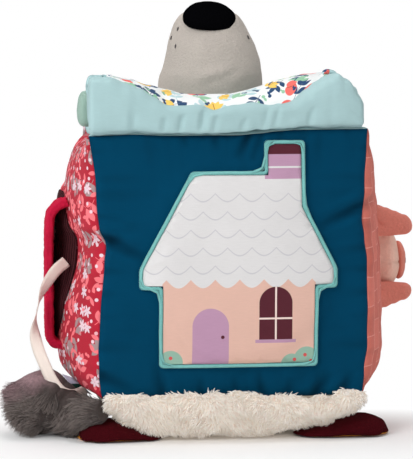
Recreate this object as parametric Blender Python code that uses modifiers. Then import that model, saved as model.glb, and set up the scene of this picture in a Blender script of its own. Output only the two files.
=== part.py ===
"""A soft fabric activity block for a baby: a stuffed cube with a quilted cover, a blanket roll and an
animal's muzzle on top, a small pig on one side, a loop on the other, two feet and a tail.

Metres, +Z up. The origin is on the floor under the middle of the block, the front faces -Y and the
tail lies at -X.
"""

import math

import bmesh
import bpy
from mathutils import Vector

# The stuffed block
BLOCK_WIDTH = 0.184
BLOCK_DEPTH = 0.180
BLOCK_HEIGHT = 0.1805
EDGE_LIFT = 0.0265
SIDE_CROWN = 0.021
SIDE_SAG_SHARE = 0.15
FRONT_CROWN = 0.005
TOP_CROWN = 0.008
BOTTOM_CROWN = 0.027
SEAM_PINCH = 0.008
RIM_PINCH = 0.004
HOLLOW_DEPTH = 0.009
HOLLOW_PLACE_SHARE = 0.52
HOLLOW_WIDE_SHARE = 0.42
HOLLOW_TALL_SHARE = 0.62
BOXY_POWER = 6
ROUND_POWER = 3
PRESSED_POWER = 4
PANEL_THICKNESS = 0.008
PANEL_CELLS = 12
SEAM_GAP = 0.0005
CLEARANCE = 0.0003
REST_CLEARANCE = 0.0007
MERGE_DISTANCE = 0.00001

# The blanket roll on the top, its printed panel and the folded lining behind it
ROLL_FRONT = 0.0935
ROLL_DEPTH = 0.0385
ROLL_LEFT = 0.091
ROLL_RIGHT = 0.088
ROLL_MIDDLE_HEIGHT = 0.017
ROLL_END_HEIGHT = 0.033
ROLL_DIP = 0.010
ROLL_DIP_REACH = 0.075
ROLL_BLUNT = 0.42
ROLL_POWER = 6
PRINT_WIDTH = 0.150
PRINT_FRONT_REACH = 0.027
PRINT_BACK_REACH = 0.005
PRINT_THICKNESS = 0.0012
PRINT_CLEARANCE = 0.0006
LINING_LEFT = 0.097
LINING_RIGHT = 0.086
LINING_DEPTH = 0.024
LINING_END_HEIGHT = 0.021
LINING_MIDDLE_HEIGHT = 0.010
LINING_RISE_SHARE = 0.9

# The head pad, the muzzle and its nose
HEAD_WIDTH = 0.118
HEAD_DEPTH = 0.096
HEAD_CENTRE = 0.024
HEAD_TOP = 0.2265
HEAD_POWER = 3
MUZZLE_SHIFT = 0.0045
MUZZLE_RADIUS = 0.0365
MUZZLE_HEIGHT = 0.0615
MUZZLE_POWER = 2.3
MUZZLE_RINGS = 10
MUZZLE_STEPS = 32
NOSE_WIDTH = 0.037
NOSE_DEPTH = 0.029
NOSE_THICKNESS = 0.0045
NOSE_FORWARD_SHARE = 0.46

# The picture sewn on the front
PICTURE_CENTRE = 0.0045
PICTURE_BOTTOM = 0.052
PICTURE_WALL_WIDTH = 0.100
PICTURE_WALL_HEIGHT = 0.062
PICTURE_EAVES_WIDTH = 0.126
PICTURE_EAVES_DROP = 0.010
PICTURE_RIDGE_WIDTH = 0.060
PICTURE_HEIGHT = 0.124
CHIMNEY_WIDTH = 0.022
CHIMNEY_RISE = 0.020
CHIMNEY_OFFSET = 0.019
PICTURE_THICKNESS = 0.0012
PICTURE_CELL = 0.016
BORDER_RADIUS = 0.0013

# The plush under the front edge
PLUSH_RISE = 0.007
PLUSH_TUCK = 0.018
PLUSH_THICKNESS = 0.0125
PLUSH_CORNER_EASE = 0.0042
PLUSH_LOWEST = 0.004
PLUSH_END_LIFT = 0.015
PLUSH_OUT_SHARES = (1, 0.55)
PLUSH_DOWN_SHARES = (0.35, 0.65)
PLUSH_END_THIN_SHARE = 0.4
PLUSH_EDGE_THIN_SHARE = 0.85
PLUSH_CLOSED_END_SHARE = 0.6

# The feet
FOOT_LENGTH = 0.066
FOOT_WIDTH = 0.036
FOOT_TOE = 0.103
FOOT_CENTRE = 0.0785
FOOT_TOE_HEIGHT = 0.015
FOOT_HEEL_HEIGHT = 0.0052
FOOT_TOE_RUN = 0.014
FOOT_POWER = 2.6
FOOT_HEEL_NARROW_SHARE = 0.18
FOOT_BLUNT = 0.55
SOLE_BLUNT = 1.6
SOLE_THICKNESS = 0.0025
FOOT_CLEARANCE = 0.0007

# The loop and the patch behind it on the left
LOOP_BOTTOM = 0.058
LOOP_TOP = 0.158
LOOP_OUT = 0.1220
LOOP_THICKNESS = 0.004
LOOP_FRONT = 0.042
LOOP_WIDTH = 0.034
LOOP_CORNER_SHARE = 0.16
PATCH_THICKNESS = 0.0012
PATCH_DEEP_CELLS = (3, 6)
PATCH_TALL_CELLS = (2, 9)

# The ribbon and the tag
RIBBON_WIDTH = 0.008
RIBBON_THICKNESS = 0.0009
RIBBON_STEPS = 36
TAG_LENGTH = 0.011
TAG_HEIGHT = 0.011
TAG_THICKNESS = 0.0012
TAG_BACK = 0.030
TAG_BOTTOM = 0.031
TAG_RISE = 0.004

# The tail
TAIL_ROOT_BACK = 0.046
TAIL_ROOT_OUT = 0.0955
TAIL_ROOT_HEIGHT = 0.020
TAIL_ROOT_RADIUS = 0.0085
TAIL_TIP_OUT = 0.151
TAIL_TIP_BACK = 0.052
TAIL_RADIUS = 0.0230
TAIL_TAPER_SHARE = 0.5
FLAT_CUT = 0.0005

# The pig on the right
PIG_HEIGHT = 0.113
PIG_BACK = 0.004
PIG_RADIUS = 0.0205
PIG_REACH = 0.0165
PIG_BLUNT = 0.6
SNOUT_RADIUS = 0.0140
SNOUT_REACH = 0.005
SNOUT_BLUNT = 0.4
EAR_REACH = 0.0250
EAR_ROOT_WIDTH = 0.021
EAR_THICKNESS = 0.0075
EAR_SPREAD = 0.0285
EAR_FORWARD = 0.0205
EAR_LEAN = 0.0065
EAR_ROOT_LIFT = 0.0005
EAR_THIN_ROOT_SHARE = 0.3
EAR_FULL_SHARE = 1.9
EAR_TIP_SHARE = 0.2
EAR_TAPER_SHARE = 0.35
EAR_POWER = 2.6

HALF_WIDTH = BLOCK_WIDTH / 2
HALF_DEPTH = BLOCK_DEPTH / 2
HALF_HEIGHT = BLOCK_HEIGHT / 2
MIDDLE = EDGE_LIFT + HALF_HEIGHT
BLOCK_TOP = EDGE_LIFT + BLOCK_HEIGHT
INNER_SHARE = 1 - PANEL_THICKNESS / HALF_WIDTH
ROLL_MIDDLE = ROLL_FRONT - ROLL_DEPTH / 2
PARTS = "soft_fabric_block"
GUIDES = "joint_axes"


# Helpers

def clear_scene():
    for thing in list(bpy.data.objects):
        bpy.data.objects.remove(thing, do_unlink=True)
    for group in list(bpy.data.collections):
        bpy.data.collections.remove(group)


def collection(name):
    group = bpy.data.collections.new(name)
    bpy.context.scene.collection.children.link(group)
    return group


def material(name, colour, roughness=0.85):
    made = bpy.data.materials.new(name)
    made.use_nodes = True
    shader = made.node_tree.nodes["Principled BSDF"]
    shader.inputs["Base Color"].default_value = (*colour, 1)
    shader.inputs["Roughness"].default_value = roughness
    shader.inputs["Metallic"].default_value = 0
    return made


def add(name, work, colour, smooth_angle=50):
    """A mesh object from a bmesh, with its own material."""
    bmesh.ops.recalc_face_normals(work, faces=work.faces)
    if work.calc_volume(signed=True) < 0:
        bmesh.ops.reverse_faces(work, faces=work.faces)
    mesh = bpy.data.meshes.new(name)
    work.to_mesh(mesh)
    work.free()
    mesh.shade_smooth()
    mesh.set_sharp_from_angle(angle=math.radians(smooth_angle))
    thing = bpy.data.objects.new(name, mesh)
    bpy.data.collections[PARTS].objects.link(thing)
    mesh.materials.append(material(name, colour))
    return thing


def set_origin(thing, point):
    """Moves the origin, and leaves the shape where it is."""
    for vertex in thing.data.vertices:
        vertex.co -= point
    thing.location = point


def guide(name, point):
    empty = bpy.data.objects.new(name, None)
    empty.location = point
    bpy.data.collections[GUIDES].objects.link(empty)
    return empty


def carried_by(thing, empty):
    thing.parent = empty
    thing.matrix_parent_inverse = empty.matrix_world.inverted()


def pivot(thing, empty_name, point):
    """A moving piece: its origin and an empty are on its joint's axis."""
    empty = guide(empty_name, point)
    bpy.context.view_layer.update()
    set_origin(thing, point)
    carried_by(thing, empty)
    return empty


def cube_grid(cells):
    """A cube from -1 to 1, cut into cells along its three sides."""
    work = bmesh.new()
    bmesh.ops.create_cube(work, size=2)
    for axis, count in enumerate(cells):
        normal = [0, 0, 0]
        normal[axis] = 1
        for step in range(1, count):
            place = [0, 0, 0]
            place[axis] = -1 + 2 * step / count
            bmesh.ops.bisect_plane(
                work, geom=work.verts[:] + work.edges[:] + work.faces[:], plane_co=place, plane_no=normal
            )
    return work


def split_quads(work, rank):
    """Splits each square at its highest corner, so that surfaces that face each other match."""
    for face in list(work.faces):
        corners = list(face.verts)
        top = max(range(4), key=lambda index: rank(corners[index].co))
        bmesh.utils.face_split(face, corners[top], corners[top - 2])


def shaped_cube(name, cells, place, colour, rank=None):
    """A gridded cube whose every vertex is put where place(u, v, w) says."""
    work = cube_grid(cells)
    if rank:
        split_quads(work, rank)
    for vertex in work.verts:
        vertex.co = place(*vertex.co)
    return add(name, work, colour)


def shaped_sphere(name, segments, rings, place, colour):
    work = bmesh.new()
    bmesh.ops.create_uvsphere(work, u_segments=segments, v_segments=rings, radius=1)
    for vertex in work.verts:
        vertex.co = place(*vertex.co)
    bmesh.ops.remove_doubles(work, verts=work.verts, dist=MERGE_DISTANCE)
    return add(name, work, colour)


def squared(x, y, power):
    """Pushes a point of the unit disc out towards a square with round corners."""
    size = math.hypot(x, y)
    if size == 0:
        return x, y
    c, s = abs(x) / size, abs(y) / size
    out = (c**power + s**power) ** (-1 / power)
    return x * out, y * out


def eased(share):
    share = max(0, min(1, share))
    return share * share * (3 - 2 * share)


# The surface of the block

def fullness(t, power):
    return 1 - min(1, abs(t)) ** power


def block_point(a, b, c):
    """a, b and c run from -1 to 1 between the block's opposite sides, and the surface is at 1.

    The sides swell, their seams are drawn in, and the left side has a hollow beside its loop.
    """
    round_a, round_b = fullness(a, ROUND_POWER), fullness(b, ROUND_POWER)
    boxy_c = fullness(c, BOXY_POWER)
    crown = SIDE_CROWN * (1 - SIDE_SAG_SHARE * c) * round_b * boxy_c
    pinch = SEAM_PINCH * b * b * fullness(c, 2) + RIM_PINCH * c * c * round_b
    if a < 0:
        across = eased(1 - abs(b + HOLLOW_PLACE_SHARE) / HOLLOW_WIDE_SHARE)
        pinch += HOLLOW_DEPTH * across * eased(1 - abs(c) / HOLLOW_TALL_SHARE)
    x = a * (HALF_WIDTH + crown - pinch)
    y = b * (HALF_DEPTH + FRONT_CROWN * round_a * fullness(c, ROUND_POWER))
    if c > 0:
        swell = TOP_CROWN * round_a * round_b
    else:
        swell = BOTTOM_CROWN * fullness(a, PRESSED_POWER) * fullness(b, PRESSED_POWER)
    z = MIDDLE + c * (HALF_HEIGHT + swell)
    return Vector((x, y, max(z, 0)))


def solved(aim, at):
    """The share from -1 to 1 at which the rising function at() reaches aim."""
    low, high = -1, 1
    for _ in range(40):
        half = (low + high) / 2
        if at(half) < aim:
            low = half
        else:
            high = half
    return (low + high) / 2


def on_top(x, y):
    """The top over a plan point; past the block's edge it runs on level."""
    b = max(-1, min(1, y / HALF_DEPTH))
    a = solved(x, lambda t: block_point(t, b, 1).x)
    return Vector((x, y, block_point(a, b, 1).z))


def on_bottom(x, y):
    b = max(-1, min(1, y / HALF_DEPTH))
    a = solved(x, lambda t: block_point(t, b, -1).x)
    return Vector((x, y, block_point(a, b, -1).z))


def on_front(x, z):
    c = (z - MIDDLE) / HALF_HEIGHT
    a = solved(x, lambda t: block_point(t, -1, c).x)
    return block_point(a, -1, c)


def on_side(side, y, z):
    b = y / HALF_DEPTH
    c = (z - MIDDLE) / HALF_HEIGHT
    return block_point(side, b, c)


# The block's core and its six panels

def foam_core():
    share = INNER_SHARE - CLEARANCE / HALF_HEIGHT

    def place(a, b, c):
        return block_point(a * share, b * share, c * share)

    def rank(corner):
        return abs(corner.x) + abs(corner.y) + abs(corner.z)

    shaped_cube("foam_core", (PANEL_CELLS,) * 3, place, (0.80, 0.78, 0.70), rank)


def padded_panel(name, axis, side, colour):
    """One quilted side of the cover, mitred to its neighbours, from the core out to the surface."""
    inset = SEAM_GAP / BLOCK_WIDTH

    def place(u, v, w):
        depth = INNER_SHARE + (1 - INNER_SHARE) * (1 + w) / 2
        spread = depth * (1 - inset / depth)
        point = [u * spread, v * spread]
        point.insert(axis, side * depth)
        return block_point(*point)

    def rank(corner):
        return abs(corner.x) + abs(corner.y) + corner.z

    return shaped_cube(name, (PANEL_CELLS, PANEL_CELLS, 1), place, colour, rank)


def panels():
    padded_panel("front_panel", 1, -1, (0.000, 0.045, 0.095))
    padded_panel("back_panel", 1, 1, (0.000, 0.045, 0.095))
    padded_panel("left_panel", 0, -1, (0.510, 0.028, 0.050))
    padded_panel("right_panel", 0, 1, (0.560, 0.140, 0.110))
    padded_panel("top_panel", 2, 1, (0.410, 0.600, 0.610))
    padded_panel("bottom_panel", 2, -1, (0.700, 0.650, 0.560))


# The blanket

def roll_height(x):
    """The roll sags in its middle, where the muzzle stands behind it."""
    rise = eased(abs(x + ROLL_DIP) / ROLL_DIP_REACH)
    return ROLL_MIDDLE_HEIGHT + (ROLL_END_HEIGHT - ROLL_MIDDLE_HEIGHT) * rise


def roll_plan(u, v):
    x = u * (ROLL_RIGHT if u > 0 else ROLL_LEFT)
    return x, v * ROLL_DEPTH / 2 - ROLL_MIDDLE


def roll_top(x, y):
    """The roll's upper surface over a point of its outline."""
    u = x / (ROLL_RIGHT if x > 0 else ROLL_LEFT)
    v = (y + ROLL_MIDDLE) / (ROLL_DEPTH / 2)
    reach = min(1, (abs(u) ** ROLL_POWER + abs(v) ** ROLL_POWER) ** (1 / ROLL_POWER))
    lift = roll_height(x) * math.sqrt(1 - reach * reach) ** ROLL_BLUNT
    return on_top(x, y) + Vector((0, 0, REST_CLEARANCE + lift))


def blanket_roll():
    def place(u, v, w):
        u, v = squared(u, v, ROLL_POWER)
        x, y = roll_plan(u, v)
        base = on_top(x, y)
        lift = roll_height(x) * w**ROLL_BLUNT if w > 0 else 0
        return base + Vector((0, 0, REST_CLEARANCE + lift))

    return shaped_sphere("blanket_roll", 40, 16, place, (0.410, 0.600, 0.610))


def blanket_print():
    """The printed panel is let into the roll's top, deepest in the middle of its front."""

    def place(u, v, w):
        x = u * PRINT_WIDTH / 2 - ROLL_DIP / 2
        y = v * (PRINT_BACK_REACH if v > 0 else PRINT_FRONT_REACH) - ROLL_MIDDLE + ROLL_DEPTH / 4
        lift = PRINT_CLEARANCE + (PRINT_THICKNESS if w > 0 else 0) * math.sqrt(max(0, w))
        return roll_top(x, y) + Vector((0, -lift / 2, lift))

    return shaped_sphere("blanket_print", 32, 12, place, (0.800, 0.810, 0.800))


def blanket_lining():
    front = ROLL_FRONT - ROLL_DEPTH - CLEARANCE * 3

    def place(u, v, w):
        u, v = squared(u, v, ROLL_POWER)
        x = u * (LINING_RIGHT if u > 0 else LINING_LEFT)
        y = (v + 1) * LINING_DEPTH / 2 - front
        tall = LINING_MIDDLE_HEIGHT + (LINING_END_HEIGHT - LINING_MIDDLE_HEIGHT) * eased(abs(u) / LINING_RISE_SHARE)
        lift = tall * w**ROLL_BLUNT if w > 0 else 0
        return on_top(x, y) + Vector((0, 0, REST_CLEARANCE + lift))

    return shaped_sphere("blanket_lining", 28, 10, place, (0.300, 0.430, 0.380))


def blanket():
    roll = blanket_roll()
    print_panel = blanket_print()
    blanket_lining()
    axis = Vector((0, -ROLL_FRONT, BLOCK_TOP))
    empty = pivot(roll, "blanket_axis", axis)
    set_origin(print_panel, axis)
    carried_by(print_panel, empty)


# The head

def head_pad():
    def place(u, v, w):
        u, v = squared(u, v, HEAD_POWER)
        x = u * HEAD_WIDTH / 2 - MUZZLE_SHIFT
        y = v * HEAD_DEPTH / 2 + HEAD_CENTRE
        base = on_top(x, y)
        base.z += REST_CLEARANCE
        if w > 0:
            base.z += (HEAD_TOP + FLAT_CUT - base.z) * w**0.5
        base.z = min(base.z, HEAD_TOP)
        return base

    shaped_sphere("head_pad", 32, 12, place, (0.440, 0.400, 0.370))


def muzzle_radius(height):
    return MUZZLE_RADIUS * (1 - (height / MUZZLE_HEIGHT) ** MUZZLE_POWER) ** (1 / MUZZLE_POWER)


def on_muzzle(x, y):
    """The point of the muzzle over a plan point that is measured from its axis."""
    reach = min(1, math.hypot(x, y) / MUZZLE_RADIUS)
    height = MUZZLE_HEIGHT * (1 - reach**MUZZLE_POWER) ** (1 / MUZZLE_POWER)
    return Vector((x - MUZZLE_SHIFT, y + muzzle_middle(), HEAD_TOP + CLEARANCE + height))


def muzzle_middle():
    """The muzzle stands on the head pad, just behind the blanket's lining."""
    lining_back = ROLL_FRONT - ROLL_DEPTH - LINING_DEPTH - CLEARANCE * 3
    return MUZZLE_RADIUS - lining_back + CLEARANCE


def muzzle():
    """A turned profile: a blunt dome, flat under its base."""
    work = bmesh.new()
    points = [work.verts.new((0, 0, MUZZLE_HEIGHT))]
    for step in range(1, MUZZLE_RINGS):
        height = MUZZLE_HEIGHT * math.cos(step / MUZZLE_RINGS * math.pi / 2)
        points.append(work.verts.new((muzzle_radius(height), 0, height)))
    points.append(work.verts.new((MUZZLE_RADIUS, 0, 0)))
    points.append(work.verts.new((0, 0, 0)))
    for first, second in zip(points, points[1:]):
        work.edges.new((first, second))
    mesh = bpy.data.meshes.new("muzzle")
    work.to_mesh(mesh)
    work.free()
    thing = bpy.data.objects.new("muzzle", mesh)
    bpy.data.collections[PARTS].objects.link(thing)
    thing.location = (-MUZZLE_SHIFT, muzzle_middle(), HEAD_TOP + CLEARANCE)
    turned = thing.modifiers.new("Turned", "SCREW")
    turned.steps = turned.render_steps = MUZZLE_STEPS
    turned.use_merge_vertices = True
    turned.merge_threshold = MERGE_DISTANCE
    turned.use_smooth_shade = True
    mesh.materials.append(material("muzzle", (0.450, 0.410, 0.375)))


def nose():
    """An oval pad on the muzzle's tip, turned to the front."""

    def place(u, v, w):
        base = on_muzzle(u * NOSE_WIDTH / 2, (v / 2 - NOSE_FORWARD_SHARE) * NOSE_DEPTH)
        away = (base - Vector((-MUZZLE_SHIFT, muzzle_middle(), HEAD_TOP))).normalized()
        lift = CLEARANCE * 1.5 + (NOSE_THICKNESS * math.sqrt(w) if w > 0 else 0)
        return base + away * lift

    shaped_sphere("nose", 28, 12, place, (0.008, 0.008, 0.009))


# The picture on the front

def picture_outline(margin=0):
    """A cottage: walls, a wide roof that overhangs them and a chimney, going round from the left."""
    wall, eaves, ridge = PICTURE_WALL_WIDTH / 2, PICTURE_EAVES_WIDTH / 2, PICTURE_RIDGE_WIDTH / 2
    left, right = CHIMNEY_OFFSET, CHIMNEY_OFFSET + CHIMNEY_WIDTH
    slope = (PICTURE_HEIGHT - PICTURE_WALL_HEIGHT) / (eaves - ridge)
    shoulder = PICTURE_HEIGHT - slope * (right - ridge)
    top = PICTURE_HEIGHT + CHIMNEY_RISE
    corners = [
        (-wall, 0), (wall, 0), (wall, PICTURE_WALL_HEIGHT - PICTURE_EAVES_DROP),
        (eaves, PICTURE_WALL_HEIGHT - PICTURE_EAVES_DROP), (eaves, PICTURE_WALL_HEIGHT),
        (right, shoulder), (right, top), (left, top), (left, PICTURE_HEIGHT), (-ridge, PICTURE_HEIGHT),
        (-eaves, PICTURE_WALL_HEIGHT), (-eaves, PICTURE_WALL_HEIGHT - PICTURE_EAVES_DROP),
        (-wall, PICTURE_WALL_HEIGHT - PICTURE_EAVES_DROP),
    ]
    return [(x + PICTURE_CENTRE, z + PICTURE_BOTTOM) for x, z in moved_out(corners, margin)]


def moved_out(corners, margin):
    """The corners of an outline that lies a margin outside another, both anticlockwise."""
    made = []
    for index, corner in enumerate(corners):
        here = Vector(corner)
        back = (here - Vector(corners[index - 1])).normalized()
        on = (Vector(corners[(index + 1) % len(corners)]) - here).normalized()
        out_back, out_on = Vector((back.y, -back.x)), Vector((on.y, -on.x))
        both = out_back + out_on
        made.append(here + both * (2 * margin / both.length_squared))
    return made


def flat_shape(name, corners, thickness):
    """A filled outline in the XZ plane as a bmesh, from -thickness/2 to thickness/2 in Y."""
    curve = bpy.data.curves.new(name, "CURVE")
    curve.dimensions = "2D"
    curve.fill_mode = "BOTH"
    curve.extrude = thickness / 2
    line = curve.splines.new("POLY")
    line.points.add(len(corners) - 1)
    for point, (x, z) in zip(line.points, corners):
        point.co = (x, z, 0, 1)
    line.use_cyclic_u = True
    guide_curve = bpy.data.objects.new(name + "_outline", curve)
    bpy.data.collections[PARTS].objects.link(guide_curve)
    guide_curve.rotation_euler.x = math.pi / 2
    bpy.context.view_layer.update()
    evaluated = guide_curve.evaluated_get(bpy.context.evaluated_depsgraph_get())
    mesh = bpy.data.meshes.new_from_object(evaluated)
    mesh.transform(guide_curve.matrix_world)
    bpy.data.objects.remove(guide_curve, do_unlink=True)
    work = bmesh.new()
    work.from_mesh(mesh)
    bpy.data.meshes.remove(mesh)
    bmesh.ops.remove_doubles(work, verts=work.verts, dist=MERGE_DISTANCE)
    return work


def cut_into_cells(work, size):
    """Cuts a flat shape on a grid, so that it can follow a curved surface."""
    for axis in (0, 2):
        low = min(vertex.co[axis] for vertex in work.verts)
        high = max(vertex.co[axis] for vertex in work.verts)
        count = math.ceil((high - low) / size)
        normal = [0, 0, 0]
        normal[axis] = 1
        for step in range(1, count):
            place = [0, 0, 0]
            place[axis] = low + (high - low) * step / count
            bmesh.ops.bisect_plane(
                work, geom=work.verts[:] + work.edges[:] + work.faces[:], plane_co=place, plane_no=normal
            )
    bmesh.ops.remove_doubles(work, verts=work.verts, dist=MERGE_DISTANCE)
    bmesh.ops.triangulate(work, faces=work.faces)


def picture():
    work = flat_shape("picture", picture_outline(), PICTURE_THICKNESS)
    cut_into_cells(work, PICTURE_CELL)
    for vertex in work.verts:
        base = on_front(vertex.co.x, vertex.co.z)
        base.y -= CLEARANCE + PICTURE_THICKNESS / 2 - vertex.co.y
        vertex.co = base
    add("picture", work, (0.780, 0.650, 0.560), 30)


def picture_border():
    """The satin stitch round the picture, as one closed cord beside its edge."""
    corners = picture_outline(BORDER_RADIUS + CLEARANCE)
    curve = bpy.data.curves.new("picture_border", "CURVE")
    curve.dimensions = "3D"
    curve.bevel_depth = BORDER_RADIUS
    curve.bevel_resolution = 1
    places = []
    for index, corner in enumerate(corners):
        onward = corners[(index + 1) % len(corners)]
        reach = math.dist(corner, onward)
        count = max(1, round(reach / PICTURE_CELL))
        for step in range(count):
            share = step / count
            x = corner[0] + (onward[0] - corner[0]) * share
            z = corner[1] + (onward[1] - corner[1]) * share
            places.append(on_front(x, z) + Vector((0, -BORDER_RADIUS - CLEARANCE, 0)))
    line = curve.splines.new("POLY")
    line.points.add(len(places) - 1)
    for point, place in zip(line.points, places):
        point.co = (*place, 1)
    line.use_cyclic_u = True
    thing = bpy.data.objects.new("picture_border", curve)
    bpy.data.collections[PARTS].objects.link(thing)
    curve.materials.append(material("picture_border", (0.050, 0.330, 0.370)))


# The plush strip

def plush_low(x):
    """The strip's lower edge hangs lowest in the middle."""
    return PLUSH_LOWEST + PLUSH_END_LIFT * (x / HALF_WIDTH) ** 2


def plush_strip():
    """It wraps the front's lower edge, from a little way up the front to a way under the block."""
    rise, tuck = PLUSH_RISE / HALF_HEIGHT, PLUSH_TUCK / HALF_DEPTH

    def place(u, v, w):
        up, under = max(0, -v), max(0, v)
        base = block_point(u, under * tuck - 1, up * rise - 1)
        out = PLUSH_OUT_SHARES[0] - PLUSH_OUT_SHARES[1] * under
        down = PLUSH_DOWN_SHARES[0] + PLUSH_DOWN_SHARES[1] * under
        away = Vector((0, -out, -down)).normalized()
        full = PLUSH_THICKNESS * (1 - PLUSH_END_THIN_SHARE * u * u) * (1 - PLUSH_CLOSED_END_SHARE * u**8)
        full *= math.sqrt(1 - PLUSH_EDGE_THIN_SHARE * v * v)
        clear = REST_CLEARANCE + PLUSH_CORNER_EASE * u**4 * under
        point = base + away * (clear + full * (1 + w) / 2)
        if w > 0:
            point.z = max(point.z, plush_low(base.x))
        return point

    def rank(corner):
        return abs(corner.x) - abs(corner.y) + abs(corner.z)

    shaped_cube("plush_strip", (PANEL_CELLS, 6, 1), place, (0.780, 0.710, 0.610), rank)


# The feet

def foot_top(reach, x, y):
    """The height of a foot's top: full at the toe, thin where it runs under the block."""
    inner = FOOT_TOE - FOOT_LENGTH
    share = eased((reach - inner) / (FOOT_LENGTH - FOOT_TOE_RUN))
    tall = FOOT_HEEL_HEIGHT + (FOOT_TOE_HEIGHT - FOOT_HEEL_HEIGHT) * share
    if reach < HALF_WIDTH:
        tall = min(tall, plush_low(x) - FOOT_CLEARANCE)
    if abs(y) < HALF_DEPTH and reach < HALF_WIDTH:
        tall = min(tall, on_bottom(x, y).z - FOOT_CLEARANCE)
    return tall


def foot_plan(side, u, v):
    u, v = squared(u, v, FOOT_POWER)
    reach = FOOT_TOE - FOOT_LENGTH / 2 + u * FOOT_LENGTH / 2
    narrow = 1 - FOOT_HEEL_NARROW_SHARE * (1 - u) / 2
    return side * reach, v * FOOT_WIDTH / 2 * narrow - FOOT_CENTRE


def foot(name, side):
    def upper(u, v, w):
        x, y = foot_plan(side, u, v)
        low = SOLE_THICKNESS + CLEARANCE
        high = foot_top(abs(x), x, y)
        return Vector((x, y, low + (high - low) * w**FOOT_BLUNT if w > 0 else low))

    def sole(u, v, w):
        x, y = foot_plan(side, u, v)
        swell = SOLE_THICKNESS / 2 + FLAT_CUT
        return Vector((x, y, max(0, min(SOLE_THICKNESS, SOLE_THICKNESS / 2 + swell * w * SOLE_BLUNT))))

    shaped_sphere(name + "_foot", 24, 8, upper, (0.130, 0.008, 0.018))
    shaped_sphere(name + "_sole", 24, 6, sole, (0.760, 0.330, 0.090))


# The left side

def side_loop():
    """A stiff velour band that stands off the side like a handle, sewn down at both ends."""
    inner = LOOP_OUT - LOOP_THICKNESS

    def place(u, v, w):
        y = (v + 1) / 2 * LOOP_WIDTH - LOOP_FRONT
        share = (w + 1) / 2
        z = LOOP_BOTTOM + (LOOP_TOP - LOOP_BOTTOM) * share
        bow = eased(min(share, 1 - share) / LOOP_CORNER_SHARE)
        foot_x = -on_side(-1, y, z).x + PATCH_THICKNESS + CLEARANCE * 2
        x = foot_x + (inner - foot_x) * bow + (1 - u) / 2 * LOOP_THICKNESS
        return Vector((-x, y, z))

    shaped_cube("side_loop", (1, 3, 24), place, (0.400, 0.010, 0.045))


def side_patch():
    """A ribbed patch on the left panel, behind the loop. It lies on whole cells of the panel."""
    front, back = (2 * cell / PANEL_CELLS - 1 for cell in PATCH_DEEP_CELLS)
    low, high = (2 * cell / PANEL_CELLS - 1 for cell in PATCH_TALL_CELLS)

    def share(v, w):
        return front + (back - front) * (v + 1) / 2, low + (high - low) * (w + 1) / 2

    def place(u, v, w):
        base = block_point(-1, *share(v, w))
        base.x -= CLEARANCE + (1 - u) / 2 * PATCH_THICKNESS
        return base

    def rank(corner):
        b, c = share(corner.y, corner.z)
        return abs(b) + abs(c)

    cells = (1, PATCH_DEEP_CELLS[1] - PATCH_DEEP_CELLS[0], PATCH_TALL_CELLS[1] - PATCH_TALL_CELLS[0])
    shaped_cube("side_patch", cells, place, (0.085, 0.008, 0.014), rank)


def ribbon_route():
    """From the seam in front of the loop, out past its edge and down in front of the tail."""
    return [
        Vector((-0.1018, -0.0500, 0.1155)), Vector((-0.1131, -0.0490, 0.1090)),
        Vector((-0.1225, -0.0500, 0.0960)), Vector((-0.1262, -0.0525, 0.0830)),
        Vector((-0.1268, -0.0560, 0.0700)), Vector((-0.1252, -0.0610, 0.0590)),
        Vector((-0.1225, -0.0670, 0.0490)), Vector((-0.1180, -0.0705, 0.0395)),
        Vector((-0.1120, -0.0712, 0.0315)), Vector((-0.1040, -0.0672, 0.0280)),
        Vector((-0.0946, -0.0574, 0.0288)),
    ]


def along(route, share):
    """A point of the smooth curve through the route's points, and its direction."""
    place = share * (len(route) - 1)
    index = min(int(place), len(route) - 2)
    t = place - index
    p1, p2 = route[index], route[index + 1]
    p0 = route[index - 1] if index > 0 else p1 * 2 - p2
    p3 = route[index + 2] if index + 2 < len(route) else p2 * 2 - p1
    m1, m2 = (p2 - p0) / 2, (p3 - p1) / 2
    point = (
        p1 * (2 * t**3 - 3 * t**2 + 1) + m1 * (t**3 - 2 * t**2 + t)
        + p2 * (3 * t**2 - 2 * t**3) + m2 * (t**3 - t**2)
    )
    going = (
        (p1 - p2) * (6 * t**2 - 6 * t) + m1 * (3 * t**2 - 4 * t + 1) + m2 * (3 * t**2 - 2 * t)
    )
    return point, going.normalized()


def tie_ribbon():
    route = ribbon_route()

    def place(u, v, w):
        point, going = along(route, (w + 1) / 2)
        flat = Vector((0, -1, 0))
        wide = going.cross(flat).normalized()
        thin = wide.cross(going).normalized()
        return point + wide * (u * RIBBON_WIDTH / 2) + thin * (v * RIBBON_THICKNESS / 2)

    shaped_cube("tie_ribbon", (1, 1, RIBBON_STEPS), place, (0.720, 0.630, 0.520))


def seam_tag():
    """A blank folded tape, caught in the left panel's lower seam."""

    def place(u, v, w):
        y = v * TAG_THICKNESS / 2 - TAG_BACK
        z = TAG_BOTTOM + TAG_HEIGHT * (w + 1) / 2
        root = CLEARANCE - on_side(-1, y, z).x
        share = (1 - u) / 2
        return Vector((-root - TAG_LENGTH * share, y, z + TAG_RISE * share))

    shaped_cube("seam_tag", (3, 1, 2), place, (0.640, 0.600, 0.720))


# The tail

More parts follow.
